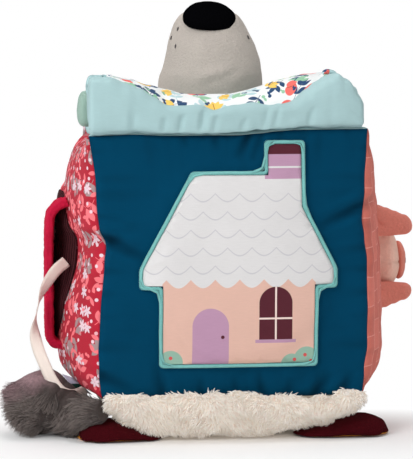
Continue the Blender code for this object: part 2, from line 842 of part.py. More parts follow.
def tail():
    """A fat teardrop that lies on the floor, with a round root on its joint's axis."""
    root = Vector((-TAIL_ROOT_OUT, -TAIL_ROOT_BACK, TAIL_ROOT_HEIGHT))
    fat = Vector((TAIL_RADIUS - TAIL_TIP_OUT, -TAIL_TIP_BACK, TAIL_RADIUS - FLAT_CUT))
    reach = fat - root
    ahead = reach.normalized()
    across = ahead.cross(Vector((0, 0, 1))).normalized()
    upward = across.cross(ahead)

    def place(u, v, w):
        if w < -TAIL_TAPER_SHARE:
            centre, radius = root, TAIL_ROOT_RADIUS
            turn = math.pi / 2 * (w + TAIL_TAPER_SHARE) / (1 - TAIL_TAPER_SHARE)
        elif w > 0:
            centre, radius = fat, TAIL_RADIUS
            turn = math.pi / 2 * w
        else:
            share = eased(w / TAIL_TAPER_SHARE + 1)
            centre = root + reach * (w / TAIL_TAPER_SHARE + 1)
            radius = TAIL_ROOT_RADIUS + (TAIL_RADIUS - TAIL_ROOT_RADIUS) * share
            turn = 0
        side = math.hypot(u, v)
        turn_u, turn_v = (u / side, v / side) if side else (0, 0)
        ring = radius * math.cos(turn)
        point = centre + ahead * (radius * math.sin(turn))
        point = point + across * (ring * turn_u) + upward * (ring * turn_v)
        point.z = max(0, point.z)
        return point

    def spread(u, v, w):
        height = math.asin(max(-1, min(1, w))) / (math.pi / 2)
        return place(u, v, height)

    thing = shaped_sphere("tail", 24, 20, spread, (0.190, 0.165, 0.150))
    pivot(thing, "tail_axis", root)


# The pig

def on_pig(y, z):
    """The pig's head over a point of the right panel that is measured from its middle."""
    reach = min(1, math.hypot(y, z) / PIG_RADIUS)
    lift = CLEARANCE + PIG_REACH * math.sqrt(1 - reach * reach) ** PIG_BLUNT
    return on_side(1, y + PIG_BACK, z + PIG_HEIGHT) + Vector((lift, 0, 0))


def pig_head():
    def place(u, v, w):
        y, z = u * PIG_RADIUS, v * PIG_RADIUS
        if w > 0:
            return on_pig(y, z)
        return on_side(1, y + PIG_BACK, z + PIG_HEIGHT) + Vector((CLEARANCE, 0, 0))

    shaped_sphere("pig_head", 24, 12, place, (0.720, 0.400, 0.320))


def pig_snout():
    def place(u, v, w):
        base = on_pig(u * SNOUT_RADIUS, v * SNOUT_RADIUS)
        base.x += CLEARANCE + (SNOUT_REACH * w**SNOUT_BLUNT if w > 0 else 0)
        return base

    shaped_sphere("pig_snout", 24, 10, place, (0.560, 0.170, 0.130))


def pig_ear(name, side):
    """A flat leaf that stands out of the panel, thin at its root so that it can flop."""
    root_y, root_z = PIG_BACK - EAR_FORWARD, PIG_HEIGHT + side * EAR_SPREAD
    base = on_side(1, root_y, root_z) + Vector((CLEARANCE + EAR_ROOT_LIFT, 0, 0))

    def place(u, v, w):
        share = max(0, w)
        full = EAR_THIN_ROOT_SHARE + EAR_FULL_SHARE * share * (1 - share) + EAR_TIP_SHARE * share
        thick = EAR_THICKNESS / 2 * full
        ring = math.hypot(u, v)
        if ring:
            u, v = u / ring, v / ring
        close = math.sqrt(max(0, 1 - share**EAR_POWER)) if w > 0 else ring
        wide = EAR_ROOT_WIDTH / 2 * close * (1 - EAR_TAPER_SHARE * share)
        lean = -side * EAR_LEAN * share
        return base + Vector((EAR_REACH * share, u * thick * close, v * wide + lean))

    thing = shaped_sphere(name, 20, 14, place, (0.580, 0.175, 0.135))
    pivot(thing, name + "_axis", base)


def build():
    clear_scene()
    collection(PARTS)
    collection(GUIDES)
    foam_core()
    panels()
    blanket()
    head_pad()
    muzzle()
    nose()
    picture()
    picture_border()
    plush_strip()
    foot("left", -1)
    foot("right", 1)
    side_loop()
    side_patch()
    tie_ribbon()
    seam_tag()
    tail()
    pig_head()
    pig_snout()
    pig_ear("pig_ear_upper", 1)
    pig_ear("pig_ear_lower", -1)


build()
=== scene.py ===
import math

import bmesh
import bpy
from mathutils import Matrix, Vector, noise
from mathutils.bvhtree import BVHTree


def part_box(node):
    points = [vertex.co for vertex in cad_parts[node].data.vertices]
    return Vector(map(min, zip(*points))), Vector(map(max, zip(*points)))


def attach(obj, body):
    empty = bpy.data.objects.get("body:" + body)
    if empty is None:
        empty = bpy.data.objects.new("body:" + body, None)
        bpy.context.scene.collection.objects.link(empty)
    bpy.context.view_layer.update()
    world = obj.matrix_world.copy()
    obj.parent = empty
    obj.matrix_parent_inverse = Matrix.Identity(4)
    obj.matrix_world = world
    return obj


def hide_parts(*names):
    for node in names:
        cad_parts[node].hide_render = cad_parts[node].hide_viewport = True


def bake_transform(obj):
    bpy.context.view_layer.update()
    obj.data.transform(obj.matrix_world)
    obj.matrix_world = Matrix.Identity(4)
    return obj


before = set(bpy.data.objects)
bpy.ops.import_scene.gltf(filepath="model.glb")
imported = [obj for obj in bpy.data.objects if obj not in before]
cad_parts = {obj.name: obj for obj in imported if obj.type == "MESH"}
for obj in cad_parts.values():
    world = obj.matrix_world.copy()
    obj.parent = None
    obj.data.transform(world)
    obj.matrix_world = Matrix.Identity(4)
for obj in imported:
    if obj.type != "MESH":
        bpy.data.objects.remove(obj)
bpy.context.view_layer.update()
scene = bpy.context.scene

# The block, in metres, with the front at -Y
BLOCK_WIDTH = 0.184
BLOCK_DEPTH = 0.180
BLOCK_HEIGHT = 0.1805
EDGE_LIFT = 0.0265
SIDE_CROWN = 0.021
SIDE_SAG_SHARE = 0.15
FRONT_CROWN = 0.005
TOP_CROWN = 0.008
BOTTOM_CROWN = 0.027
SEAM_PINCH = 0.008
RIM_PINCH = 0.004
HOLLOW_DEPTH = 0.009
HOLLOW_PLACE_SHARE = 0.52
HOLLOW_WIDE_SHARE = 0.42
HOLLOW_TALL_SHARE = 0.62
HALF_WIDTH = BLOCK_WIDTH / 2
HALF_DEPTH = BLOCK_DEPTH / 2
HALF_HEIGHT = BLOCK_HEIGHT / 2
HALVES = (HALF_WIDTH, HALF_DEPTH, HALF_HEIGHT)
MIDDLE = EDGE_LIFT + HALF_HEIGHT
BLOCK_TOP = EDGE_LIFT + BLOCK_HEIGHT

# The cover's cage, its seams and its puckers
COVER_CELLS = 60
SEAM_DEPTH = 0.0016
SEAM_REACH = 0.0028
SEAM_FLAT = 0.006
PUCKER_PITCH = 0.0095
PUCKER_HEIGHT = 0.0011
PUCKER_REACH = 0.013
LUMP_SIZE = 0.045
LUMP_HEIGHT = 0.0011
SMALL_LUMP_SIZE = 0.014
SMALL_LUMP_HEIGHT = 0.00035
COVER_THICKNESS = 0.0012
COVER_LOWEST = 0.0005

# The camera, as the photograph was taken
CAMERA_AZIMUTH = -6.0
CAMERA_HEIGHT_ANGLE = 5.2
CAMERA_DISTANCE = 1.25
CAMERA_TARGET = Vector((-0.0070, 0, 0.1320))
PICTURE_TALL = 459
FOCAL_PIXELS = 1771
SENSOR = 36.0

# The ribbon, from the loop's top to the fur at the tail's neck
RIBBON_ROUTE = [
    Vector((-0.1070, -0.0420, 0.1150)), Vector((-0.1150, -0.0470, 0.1085)),
    Vector((-0.1230, -0.0500, 0.0960)), Vector((-0.1272, -0.0525, 0.0830)),
    Vector((-0.1286, -0.0560, 0.0700)), Vector((-0.1266, -0.0610, 0.0590)),
    Vector((-0.1225, -0.0670, 0.0490)), Vector((-0.1180, -0.0705, 0.0395)),
    Vector((-0.1120, -0.0712, 0.0315)), Vector((-0.1040, -0.0672, 0.0280)),
    Vector((-0.0946, -0.0574, 0.0288)),
]
RIBBON_WIDTH = 0.008
RIBBON_THICKNESS = 0.0005
RIBBON_STEPS = 160
RIBBON_TWIST = 1.35
RIBBON_TWIST_SHARE = 0.30
RIBBON_TWIST_REACH = 0.12
RIBBON_SWAY = 0.25
RIBBON_CUP = 0.0003
RIBBON_RING = [(step / 2, -1) for step in range(-2, 3)] + [(step / 2, 1) for step in range(2, -3, -1)]

# Small sums

def eased(share):
    share = max(0, min(1, share))
    return share * share * (3 - 2 * share)


def between(low, high, share):
    return low + (high - low) * share


def read_line(line, x):
    """The height at x of a smooth line through a few points."""
    for (x0, y0), (x1, y1) in zip(line, line[1:]):
        if x <= x1:
            return between(y0, y1, eased((x - x0) / (x1 - x0)))
    return line[-1][1]


def curved(p0, p1, p2, p3, t):
    """The smooth curve between the middle two of four points: its point at t, and its slope."""
    m1, m2 = (p2 - p0) / 2, (p3 - p1) / 2
    point = (
        p1 * (2 * t**3 - 3 * t**2 + 1) + m1 * (t**3 - 2 * t**2 + t)
        + p2 * (3 * t**2 - 2 * t**3) + m2 * (t**3 - t**2)
    )
    slope = (
        (p1 - p2) * (6 * t**2 - 6 * t) + m1 * (3 * t**2 - 4 * t + 1) + m2 * (3 * t**2 - 2 * t)
    )
    return point, slope


def along(route, share):
    """A point of the smooth curve through the route's points, and its direction."""
    place = share * (len(route) - 1)
    index = min(int(place), len(route) - 2)
    p1, p2 = route[index], route[index + 1]
    p0 = route[index - 1] if index > 0 else p1 * 2 - p2
    p3 = route[index + 2] if index + 2 < len(route) else p2 * 2 - p1
    point, slope = curved(p0, p1, p2, p3, place - index)
    return point, slope.normalized()


def closed_curve(points, share):
    """A point of the smooth closed curve through the points."""
    place = (share % 1) * len(points)
    index = int(place) % len(points)
    four = [points[(index + step) % len(points)] for step in (-1, 0, 1, 2)]
    return curved(*four, place - int(place))[0]


def bell(away, width):
    """1 in the middle, and next to nothing two widths away."""
    return math.exp(-((away / width) ** 2))


def rounded_end(share):
    """How full a piece is where its end rounds off, from 0 at the end to 1."""
    return math.sqrt(max(0, 1 - (1 - share) ** 2))


def spaced(t, left, right):
    """A place from left to right, with more sections near the ends, where a roll rounds off."""
    share = 2 * t - 1
    reach = 1 - (1 - abs(share)) ** 1.35
    return (left + right) / 2 + math.copysign(reach, share) * ((right - left) / 2)


def ink(red, green, blue):
    """A linear colour from one that is written from 0 to 255."""
    def linear(part):
        share = part / 255
        return share / 12.92 if share <= 0.04045 else ((share + 0.055) / 1.055) ** 2.4

    return linear(red), linear(green), linear(blue), 1.0


# Node trees, and sums on their sockets

WHITE = (1, 1, 1, 1)
CLOUD_ROUGHNESS = 0.55


class Value:
    """A socket of a material, so that sums on it are written as Python."""

    def __init__(self, shade, socket):
        self.shade = shade
        self.socket = socket

    def __add__(self, other):
        return self.shade.sum("ADD", self, other)

    def __sub__(self, other):
        return self.shade.sum("SUBTRACT", self, other)

    def __mul__(self, other):
        return self.shade.sum("MULTIPLY", self, other)

    def __truediv__(self, other):
        return self.shade.sum("DIVIDE", self, other)

    def __rsub__(self, other):
        return self.shade.sum("SUBTRACT", other, self)

    def __abs__(self):
        return self.shade.sum("ABSOLUTE", self)

    __radd__ = __add__
    __rmul__ = __mul__


class Nodes:
    """A node tree, and the one way in which it gets its nodes."""

    def __init__(self, tree):
        self.tree = tree

    def feed(self, socket, value):
        """Sets a socket, or links it to the one that the value comes from."""
        if isinstance(value, Value):
            value = value.socket
        if isinstance(value, bpy.types.NodeSocket):
            self.tree.links.new(value, socket)
        else:
            socket.default_value = value

    def node(self, kind, settings, values):
        """Adds a node: its settings first, then the numbers or links of its sockets."""
        made = self.tree.nodes.new(kind)
        for key, setting in settings.items():
            setattr(made, key, setting)
        for key, value in values.items():
            self.feed(made.inputs[key], value)
        return made


class Shade(Nodes):
    """One material, made from a Principled shader and the nodes that feed it."""

    def __init__(self, name):
        self.material = bpy.data.materials.new(name)
        self.material.use_nodes = True
        super().__init__(self.material.node_tree)
        self.principled = self.tree.nodes["Principled BSDF"]

    def sum(self, operation, *values):
        made = self.node("ShaderNodeMath", {"operation": operation}, dict(enumerate(values)))
        return Value(self, made.outputs[0])

    def inside(self, amount, soft):
        """1 where the amount is over zero, with a soft edge."""
        settings = {"operation": "MULTIPLY_ADD", "use_clamp": True}
        made = self.node("ShaderNodeMath", settings, {0: amount, 1: 1 / soft, 2: 0.5})
        return Value(self, made.outputs[0])

    def mix(self, first, second, factor):
        settings = {"data_type": "RGBA", "clamp_factor": True}
        return self.node("ShaderNodeMix", settings, {0: factor, 6: first, 7: second}).outputs[2]

    def tint(self, colour, factor):
        """The colour, darkened or lightened by a factor about 1."""
        if isinstance(colour, tuple):
            colour = colour[:3]
        made = self.node("ShaderNodeVectorMath", {"operation": "SCALE"}, {0: colour, "Scale": factor})
        return made.outputs[0]

    def cloth_place(self):
        """The place on the cloth in metres, from the piece's own UV map."""
        found = self.node("ShaderNodeUVMap", {"uv_map": "cloth"}, {})
        return self.split(found.outputs[0])[:2]

    def body_place(self):
        return self.node("ShaderNodeTexCoord", {}, {}).outputs["Object"]

    def marked(self, name):
        """A number that the mesh carries at its points."""
        return Value(self, self.node("ShaderNodeAttribute", {"attribute_name": name}, {}).outputs["Fac"])

    def split(self, vector):
        made = self.node("ShaderNodeSeparateXYZ", {}, {0: vector})
        return [Value(self, socket) for socket in made.outputs]

    def joined(self, x, y):
        return self.node("ShaderNodeCombineXYZ", {}, {0: x, 1: y}).outputs[0]

    def cloud(self, place, size, detail=2.0, stretch=None):
        """Soft noise about 0, with clouds of a given size in metres."""
        if stretch:
            place = self.node("ShaderNodeMapping", {}, {"Vector": place, "Scale": stretch}).outputs[0]
        values = {"Vector": place, "Scale": 1 / size, "Detail": detail, "Roughness": CLOUD_ROUGHNESS}
        return Value(self, self.node("ShaderNodeTexNoise", {}, values).outputs["Fac"]) - 0.5

    def weave(self, u, v):
        """The height of a plain weave, from 0 to 1."""
        first = self.sum("SINE", u * (math.pi / WEAVE_PITCH))
        second = self.sum("SINE", v * (math.pi / WEAVE_PITCH))
        return abs(first * second)

    def finish(self, colour, roughness, height=None, depth=0.0, sheen=0.0, sheen_tint=WHITE, gloss=0.2):
        """Ends the material. The height runs from about 0 to 1, and the depth is its size in metres."""
        values = {
            "Base Color": colour, "Roughness": roughness, "Specular IOR Level": gloss,
            "Sheen Weight": sheen, "Sheen Roughness": 0.5, "Sheen Tint": sheen_tint,
        }
        if height is not None:
            bump = self.node("ShaderNodeBump", {}, {"Height": height, "Distance": depth, "Strength": 1.0})
            values["Normal"] = bump.outputs[0]
        for key, value in values.items():
            self.feed(self.principled.inputs[key], value)
        return self.material


# Print motifs, as masks from 0 to 1

EDGE_SOFT = 0.0002
SPRIG_LENGTH = 0.0105
SPRIG_PAIRS = 2


def scattered(shade, u, v, size, seed, spread):
    """One motif to a cell: the place from its middle, turned at random, and two random numbers."""
    place = shade.joined(u / size + seed, v / size + seed * 1.7)
    values = {"Vector": place, "Scale": 1.0, "Randomness": spread}
    found = shade.node("ShaderNodeTexVoronoi", {"voronoi_dimensions": "2D"}, values)
    away = shade.node(
        "ShaderNodeVectorMath", {"operation": "SUBTRACT"}, {0: place, 1: found.outputs["Position"]}
    )
    x, y, _ = shade.split(away.outputs[0])
    parts = shade.node("ShaderNodeSeparateColor", {}, {0: found.outputs["Color"]}).outputs
    red, green, blue = (Value(shade, socket) for socket in parts)
    turn = red * (2 * math.pi)
    cosine, sine = shade.sum("COSINE", turn), shade.sum("SINE", turn)
    return (x * cosine + y * sine) * size, (y * cosine - x * sine) * size, green, blue


def leaf(shade, x, y, middle, angle, length, width):
    """A pointed leaf whose long axis is turned by an angle."""
    c, s = math.cos(angle), math.sin(angle)
    dx, dy = x - middle[0], y - middle[1]
    ahead = (dx * c + dy * s) / (length / 2)
    aside = abs(dy * c - dx * s)
    return shade.inside((1 - ahead * ahead) * (width / 2) - aside, EDGE_SOFT)


def dot(shade, x, y, middle, radius):
    dx, dy = x - middle[0], y - middle[1]
    reach = shade.sum("SQRT", dx * dx + dy * dy)
    return shade.inside(radius - reach, EDGE_SOFT)


def bar(shade, x, y, low, high):
    """A straight-sided box from one corner to the other."""
    across = shade.sum("MINIMUM", x - low[0], high[0] - x)
    upward = shade.sum("MINIMUM", y - low[1], high[1] - y)
    return shade.inside(shade.sum("MINIMUM", across, upward), EDGE_SOFT)


def either(shade, *masks):
    made = masks[0]
    for mask in masks[1:]:
        made = shade.sum("MAXIMUM", made, mask)
    return made


def sprig(shade, x, y, leaf_length, leaf_width):
    """A stem with pairs of leaves and one at its tip."""
    masks = [bar(shade, x, y, (-SPRIG_LENGTH / 2, -0.0002), (SPRIG_LENGTH / 2, 0.0002))]
    for step in range(SPRIG_PAIRS):
        foot = -SPRIG_LENGTH / 2 + SPRIG_LENGTH * (step + 0.6) / SPRIG_PAIRS
        for side in (-1, 1):
            angle = side * math.radians(52)
            middle = (
                foot + math.cos(angle) * leaf_length / 2, math.sin(angle) * leaf_length / 2
            )
            masks.append(leaf(shade, x, y, middle, angle, leaf_length, leaf_width))
    tip = (SPRIG_LENGTH / 2 + leaf_length / 3, 0)
    masks.append(leaf(shade, x, y, tip, 0, leaf_length, leaf_width))
    return either(shade, *masks)


def fan(shade, x, y, reach, degrees, length, width):
    """Leaves that spread from one point."""
    turns = [math.radians(turn) for turn in degrees]
    return either(shade, *[
        leaf(shade, x, y, (reach * math.cos(turn), reach * math.sin(turn)), turn, length, width)
        for turn in turns
    ])


# Materials

BRICK_LONG = 0.0201
BRICK_TALL = 0.0115
WEAVE_PITCH = 0.00042
VELOUR_NAP = 0.00032
TAIL_BLUSH = (0.136, 0.031)


def plain_cotton(name, colour, printed=None, wash=0.10, gloss=0.2, hollow=0.0):
    """Woven cotton, with the print that printed(shade, u, v, colour) puts on it, and with painted shade in
    its creases and puckers, as deep as hollow.
    """
    shade = Shade(name)
    u, v = shade.cloth_place()
    place = shade.body_place()
    ground = printed(shade, u, v, colour) if printed else colour
    threads = shade.weave(u, v)
    slubs = shade.cloud(shade.joined(u, v), 0.006, 3.0, (1.0, 9.0, 1.0))
    level = 1.0 + shade.cloud(place, 0.035, 3.0) * wash + slubs * 0.10 + (threads - 0.45) * 0.12
    # Painted shade: the colour darkens by the mesh's hollow number, in its creases and puckers.
    if hollow:
        level = level - shade.marked("hollow") * hollow
    rough = 0.86 + shade.cloud(place, 0.012) * 0.12
    height = threads + slubs * 1.4
    return shade.finish(
        shade.tint(ground, level), rough, height, depth=0.00009, sheen=gloss * 0.3, gloss=gloss,
    )


def velour(name, colour, sheen=0.45, patch=0.16, gloss=0.1):
    """Short pile: fine grain, and soft patches where the pile lies another way."""
    shade = Shade(name)
    place = shade.body_place()
    grain = shade.cloud(place, VELOUR_NAP, 2.0)
    tufts = shade.cloud(place, VELOUR_NAP * 5, 3.0)
    lie = shade.cloud(place, 0.022, 3.0)
    level = 1.0 + grain * 0.35 + tufts * 0.22 + lie * patch
    tint = tuple(min(1.0, part * 1.6 + 0.02) for part in colour[:3]) + (1.0,)
    height = grain + tufts * 1.5
    return shade.finish(
        shade.tint(colour, level), 0.95, height, depth=0.0005, sheen=sheen, sheen_tint=tint, gloss=gloss,
    )


def pile(name, root, tip, third=None, streaks=0.35, soft=0.0, lift=0.0):
    """Long pile: the strand's own length, in its UV map, runs from the root colour to the tip colour. The
    lift makes it glow in its tip colour, as painted light in its shade.
    """
    shade = Shade(name)
    _, length = shade.cloth_place()
    place = shade.body_place()
    patch = shade.cloud(place, 0.010, 2.0)
    ground = shade.mix(root, tip, length)
    if third:
        x, _, z = shade.split(place)
        share = shade.inside((x * -1.0 - TAIL_BLUSH[0]) * 0.5 + (z - TAIL_BLUSH[1]) + patch * 0.012, 0.010)
        ground = shade.mix(ground, third, share * 0.75)
    level = 1.0 + patch * 0.3 + shade.cloud(place, 0.0016, 2.0) * streaks
    # Painted light: an emission in the tip colour, as strong as lift, brightens the pile's shade.
    values = {
        "Subsurface Weight": soft, "Subsurface Radius": (0.004, 0.0036, 0.0032), "Subsurface Scale": 1.0,
        "Emission Color": tip, "Emission Strength": lift,
    }
    for key, value in values.items():
        shade.feed(shade.principled.inputs[key], value)
    return shade.finish(shade.tint(ground, level), 0.9, sheen=0.1, gloss=0.05)


def thread(name, colour):
    """Glossy embroidery thread with a fine twist."""
    shade = Shade(name)
    place = shade.body_place()
    twist = shade.cloud(place, 0.00035, 1.0)
    level = 1.0 + twist * 0.5 + shade.cloud(place, 0.004) * 0.2
    return shade.finish(shade.tint(colour, level), 0.45, twist, depth=0.0001, sheen=0.1)


def satin(name, colour):
    """Ribbon satin: fine cross ribs, and a gloss that changes along it."""
    shade = Shade(name)
    u, v = shade.cloth_place()
    ribs = shade.sum("SINE", v * (2 * math.pi / 0.0005))
    streaks = shade.cloud(shade.joined(u, v), 0.003, 2.0, (6.0, 0.7, 1.0))
    level = 1.0 + ribs * 0.04 + streaks * 0.12
    selvedge = shade.inside(abs(u) - RIBBON_WIDTH * 0.42, 0.0003)
    return shade.finish(
        shade.tint(colour, level - selvedge * 0.08), 0.5 + streaks * 0.15, ribs, depth=0.00006, sheen=0.2,
    )


def foam(name, colour):
    shade = Shade(name)
    holes = shade.cloud(shade.body_place(), 0.0012, 3.0)
    return shade.finish(shade.tint(colour, 1.0 + holes * 0.4), 0.95, holes, depth=0.0006)


def flowered(shade, u, v, ground):
    """Leaf sprays, round berries and star flowers on red."""
    coral, grey, pale = ink(250, 124, 132), ink(172, 144, 146), ink(240, 212, 222)
    made = shade.mix(ground, ink(172, 26, 46), shade.cloud(shade.joined(u, v), 0.02) * 1.2 + 0.4)
    x, y, pick, _ = scattered(shade, u, v, 0.0185, 3.1, 0.55)
    spray = sprig(shade, x, y, 0.0078, 0.0038)
    made = shade.mix(made, shade.mix(grey, coral, shade.inside(pick - 0.5, 0.01)), spray)
    x, y, pick, _ = scattered(shade, u, v, 0.0118, 8.4, 0.8)
    star = fan(shade, x, y, 0.0023, range(0, 360, 60), 0.0044, 0.0019)
    made = shade.mix(made, pale, star * shade.inside(pick - 0.68, 0.01))
    pairs = either(
        shade, leaf(shade, x, y, (0.0024, 0.0014), 0.5, 0.0068, 0.0029),
        leaf(shade, x, y, (-0.0022, 0.0016), 2.4, 0.0060, 0.0026),
    )
    made = shade.mix(made, coral, pairs * shade.inside(0.68 - pick, 0.01))
    x, y, pick, _ = scattered(shade, u, v, 0.0072, 15.2, 0.9)
    berries = dot(shade, x, y, (0, 0), 0.0012) * shade.inside(pick - 0.35, 0.01)
    return shade.mix(made, shade.mix(coral, pale, shade.inside(pick - 0.6, 0.01)), berries)


def garden(shade, u, v, ground):
    """Loose sprays, round fruit and feathery leaves on white."""
    navy, coral, green = ink(38, 72, 112), ink(242, 112, 104), ink(150, 198, 164)
    yellow, pale, brown = ink(242, 202, 100), ink(186, 214, 218), ink(158, 84, 52)
    x, y, pick, _ = scattered(shade, u, v, 0.0165, 5.3, 0.6)
    spray = sprig(shade, x, y, 0.0072, 0.0034)
    made = shade.mix(ground, shade.mix(pale, navy, shade.inside(pick - 0.5, 0.01)), spray)
    x, y, pick, _ = scattered(shade, u, v, 0.0150, 11.7, 0.65)
    fruit = either(shade, dot(shade, x, y, (0.0020, 0), 0.0040), dot(shade, x, y, (-0.0024, 0.0006), 0.0035))
    fruit = fruit * shade.inside(0.32 - pick, 0.01)
    made = shade.mix(made, coral, fruit)
    feathers = fan(shade, x, y, 0.0034, (20, 55, 90, 125, 160), 0.0074, 0.0036)
    feathers = feathers * shade.inside(pick - 0.68, 0.01)
    made = shade.mix(made, yellow, feathers)
    single = either(
        shade, leaf(shade, x, y, (0, 0), 0.4, 0.0112, 0.0052),
        leaf(shade, x, y, (0.0014, -0.0044), -0.5, 0.0070, 0.0032),
    )
    made = shade.mix(made, green, single * shade.inside(pick - 0.32, 0.01) * shade.inside(0.68 - pick, 0.01))
    stalk = bar(shade, x, y, (-0.00022, -0.0026), (0.00022, 0.0052))
    made = shade.mix(made, brown, stalk * either(shade, fruit, feathers))
    x, y, pick, _ = scattered(shade, u, v, 0.0082, 21.9, 0.9)
    seeds = either(
        shade, dot(shade, x, y, (0, 0), 0.0012), leaf(shade, x, y, (0.0022, 0.0010), 0.6, 0.0036, 0.0017)
    )
    seeds = seeds * shade.inside(pick - 0.55, 0.01)
    return shade.mix(made, shade.mix(navy, green, shade.inside(pick - 0.78, 0.01)), seeds)


def bricks(shade, u, v, ground):
    """Pale joints on brick, with the courses running up the panel."""
    wobble = shade.cloud(shade.joined(u, v), 0.012, 1.0) * 0.0022
    sway = shade.cloud(shade.joined(u + 0.3, v), 0.011, 1.0) * 0.0022
    made = shade.node(
        "ShaderNodeTexBrick", {"offset": 0.5, "squash": 1.0},
        {
            "Vector": shade.joined(v + wobble, u + sway), "Color1": ground, "Color2": ink(206, 108, 94),
            "Mortar": ink(236, 158, 146), "Scale": 1.0, "Mortar Size": 0.00036, "Mortar Smooth": 0.4,
            "Bias": 0.0, "Brick Width": BRICK_LONG, "Row Height": BRICK_TALL,
        },
    )
    chalk = shade.cloud(shade.joined(u, v), 0.0035, 3.0)
    return shade.tint(made.outputs["Color"], 1.0 + chalk * 0.16)


# Mesh helpers

# The cloth that swells: frames of swelling, and how it resists stretch and bending
CLOTH_FRAMES = 14
CLOTH_STIFFNESS = 12.0
CLOTH_BENDING = 0.4


def object_from(name, work, smooth=True):
    mesh = bpy.data.meshes.new(name)
    work.to_mesh(mesh)
    work.free()
    if smooth:
        mesh.shade_smooth()
    thing = bpy.data.objects.new(name, mesh)
    scene.collection.objects.link(thing)
    return thing


def baked(thing):
    """Applies the object's modifiers to its mesh."""
    evaluated = thing.evaluated_get(bpy.context.evaluated_depsgraph_get())
    mesh = bpy.data.meshes.new_from_object(evaluated)
    old = thing.data
    thing.modifiers.clear()
    thing.data = mesh
    bpy.data.meshes.remove(old)
    mesh.name = thing.name
    return thing


def skin(name, place, around, steps, chart=None):
    """A closed skin of rings: place(s, t) has s round the ring and t from pole to pole, from 0 to 1.

    The "rest" attribute keeps s and t, and the UV map has what chart(s, t) gives in metres.
    """
    work = bmesh.new()
    rest = work.verts.layers.float_vector.new("rest")
    sheet = work.loops.layers.uv.new("cloth")
    rings = []
    for step in range(steps + 1):
        ring = []
        for index in range(1 if step in (0, steps) else around):
            s, t = index / around, step / steps
            vertex = work.verts.new(place(s, t))
            vertex[rest] = (s, t, 0)
            ring.append(vertex)
        rings.append(ring)
    for step in range(steps):
        for index in range(around):
            corners = [(index, step), (index + 1, step), (index + 1, step + 1), (index, step + 1)]
            if step == 0:
                corners.pop(1)
            elif step == steps - 1:
                corners.pop(2)
            face = work.faces.new([rings[up][across % len(rings[up])] for across, up in corners])
            if chart:
                for loop, (across, up) in zip(face.loops, corners):
                    loop[sheet].uv = chart(across / around, up / steps)
    bmesh.ops.recalc_face_normals(work, faces=work.faces)
    if work.calc_volume(signed=True) < 0:
        bmesh.ops.reverse_faces(work, faces=work.faces)
    return object_from(name, work)


def ball(s, t):
    """A point of the unit sphere: s round it, t from its lower pole to its upper one."""
    turn, rise = 2 * math.pi * s, math.pi * (t - 0.5)
    return math.cos(turn) * math.cos(rise), math.sin(turn) * math.cos(rise), math.sin(rise)


def squared(x, y, power):
    size = math.hypot(x, y)
    if size == 0:
        return x, y
    out = ((abs(x) / size) ** power + (abs(y) / size) ** power) ** (-1 / power)
    return x * out, y * out


def pushed(thing, amount):
    """Moves each vertex along its normal by amount(rest, place), in metres."""
    mesh = thing.data
    rests = mesh.attributes["rest"].data
    moves = [
        vertex.normal * amount(rests[vertex.index].vector, vertex.co) for vertex in mesh.vertices
    ]
    for vertex, move in zip(mesh.vertices, moves):
        vertex.co += move
    mesh.update()
    return thing


def inflated(thing, pressure, cap, seam=None, shrink=0.0):
    """Lets the skin swell as cloth, and caps how far a point may move."""
    start = [vertex.co.copy() for vertex in thing.data.vertices]
    cloth = thing.modifiers.new("Cloth", "CLOTH")
    settings = cloth.settings
    settings.quality = 5
    settings.mass = 0.15
    settings.air_damping = 2.0
    settings.tension_stiffness = settings.compression_stiffness = CLOTH_STIFFNESS
    settings.shear_stiffness = CLOTH_STIFFNESS / 2
    settings.bending_stiffness = CLOTH_BENDING
    settings.use_pressure = True
    settings.uniform_pressure_force = pressure
    settings.effector_weights.gravity = 0
    if seam:
        group = thing.vertex_groups.new(name="seam")
        for index, weight in seam.items():
            group.add([index], weight, "REPLACE")
        settings.vertex_group_shrink = "seam"
        settings.shrink_max = shrink
    for number in range(1, CLOTH_FRAMES + 1):
        scene.frame_set(number)
    evaluated = thing.evaluated_get(bpy.context.evaluated_depsgraph_get())
    ends = [vertex.co.copy() for vertex in evaluated.data.vertices]
    thing.modifiers.clear()
    scene.frame_set(1)
    for vertex, first, last in zip(thing.data.vertices, start, ends):
        move = last - first
        if move.length > cap:
            move *= cap / move.length
        vertex.co = first + move
        vertex.co.z = max(vertex.co.z, 0)
    thing.data.update()
    return thing


def smoother(thing, levels=1):
    modifier = thing.modifiers.new("Smooth", "SUBSURF")
    modifier.levels = modifier.render_levels = levels
    return baked(thing)


def walled(thing):
    """Gives a sheet the thickness of the cover's cloth, inwards."""
    wall = thing.modifiers.new("Cloth", "SOLIDIFY")
    wall.thickness = COVER_THICKNESS
    wall.offset = -1
    return baked(thing)


def cut_out(source, index, name, charted=None):
    """The source's faces of one material, as a piece of their own."""
    work = bmesh.new()
    work.from_mesh(source.data)
    gone = [face for face in work.faces if face.material_index != index]
    bmesh.ops.delete(work, geom=gone, context="FACES")
    for face in work.faces:
        face.material_index = 0
    if charted:
        charted(work)
    return walled(object_from(name, work))


def kept_above(thing, lowest):
    for vertex in thing.data.vertices:
        vertex.co.z = max(vertex.co.z, lowest)


def shifted(thing, x, z):
    for vertex in thing.data.vertices:
        vertex.co.x += x
        vertex.co.z += z


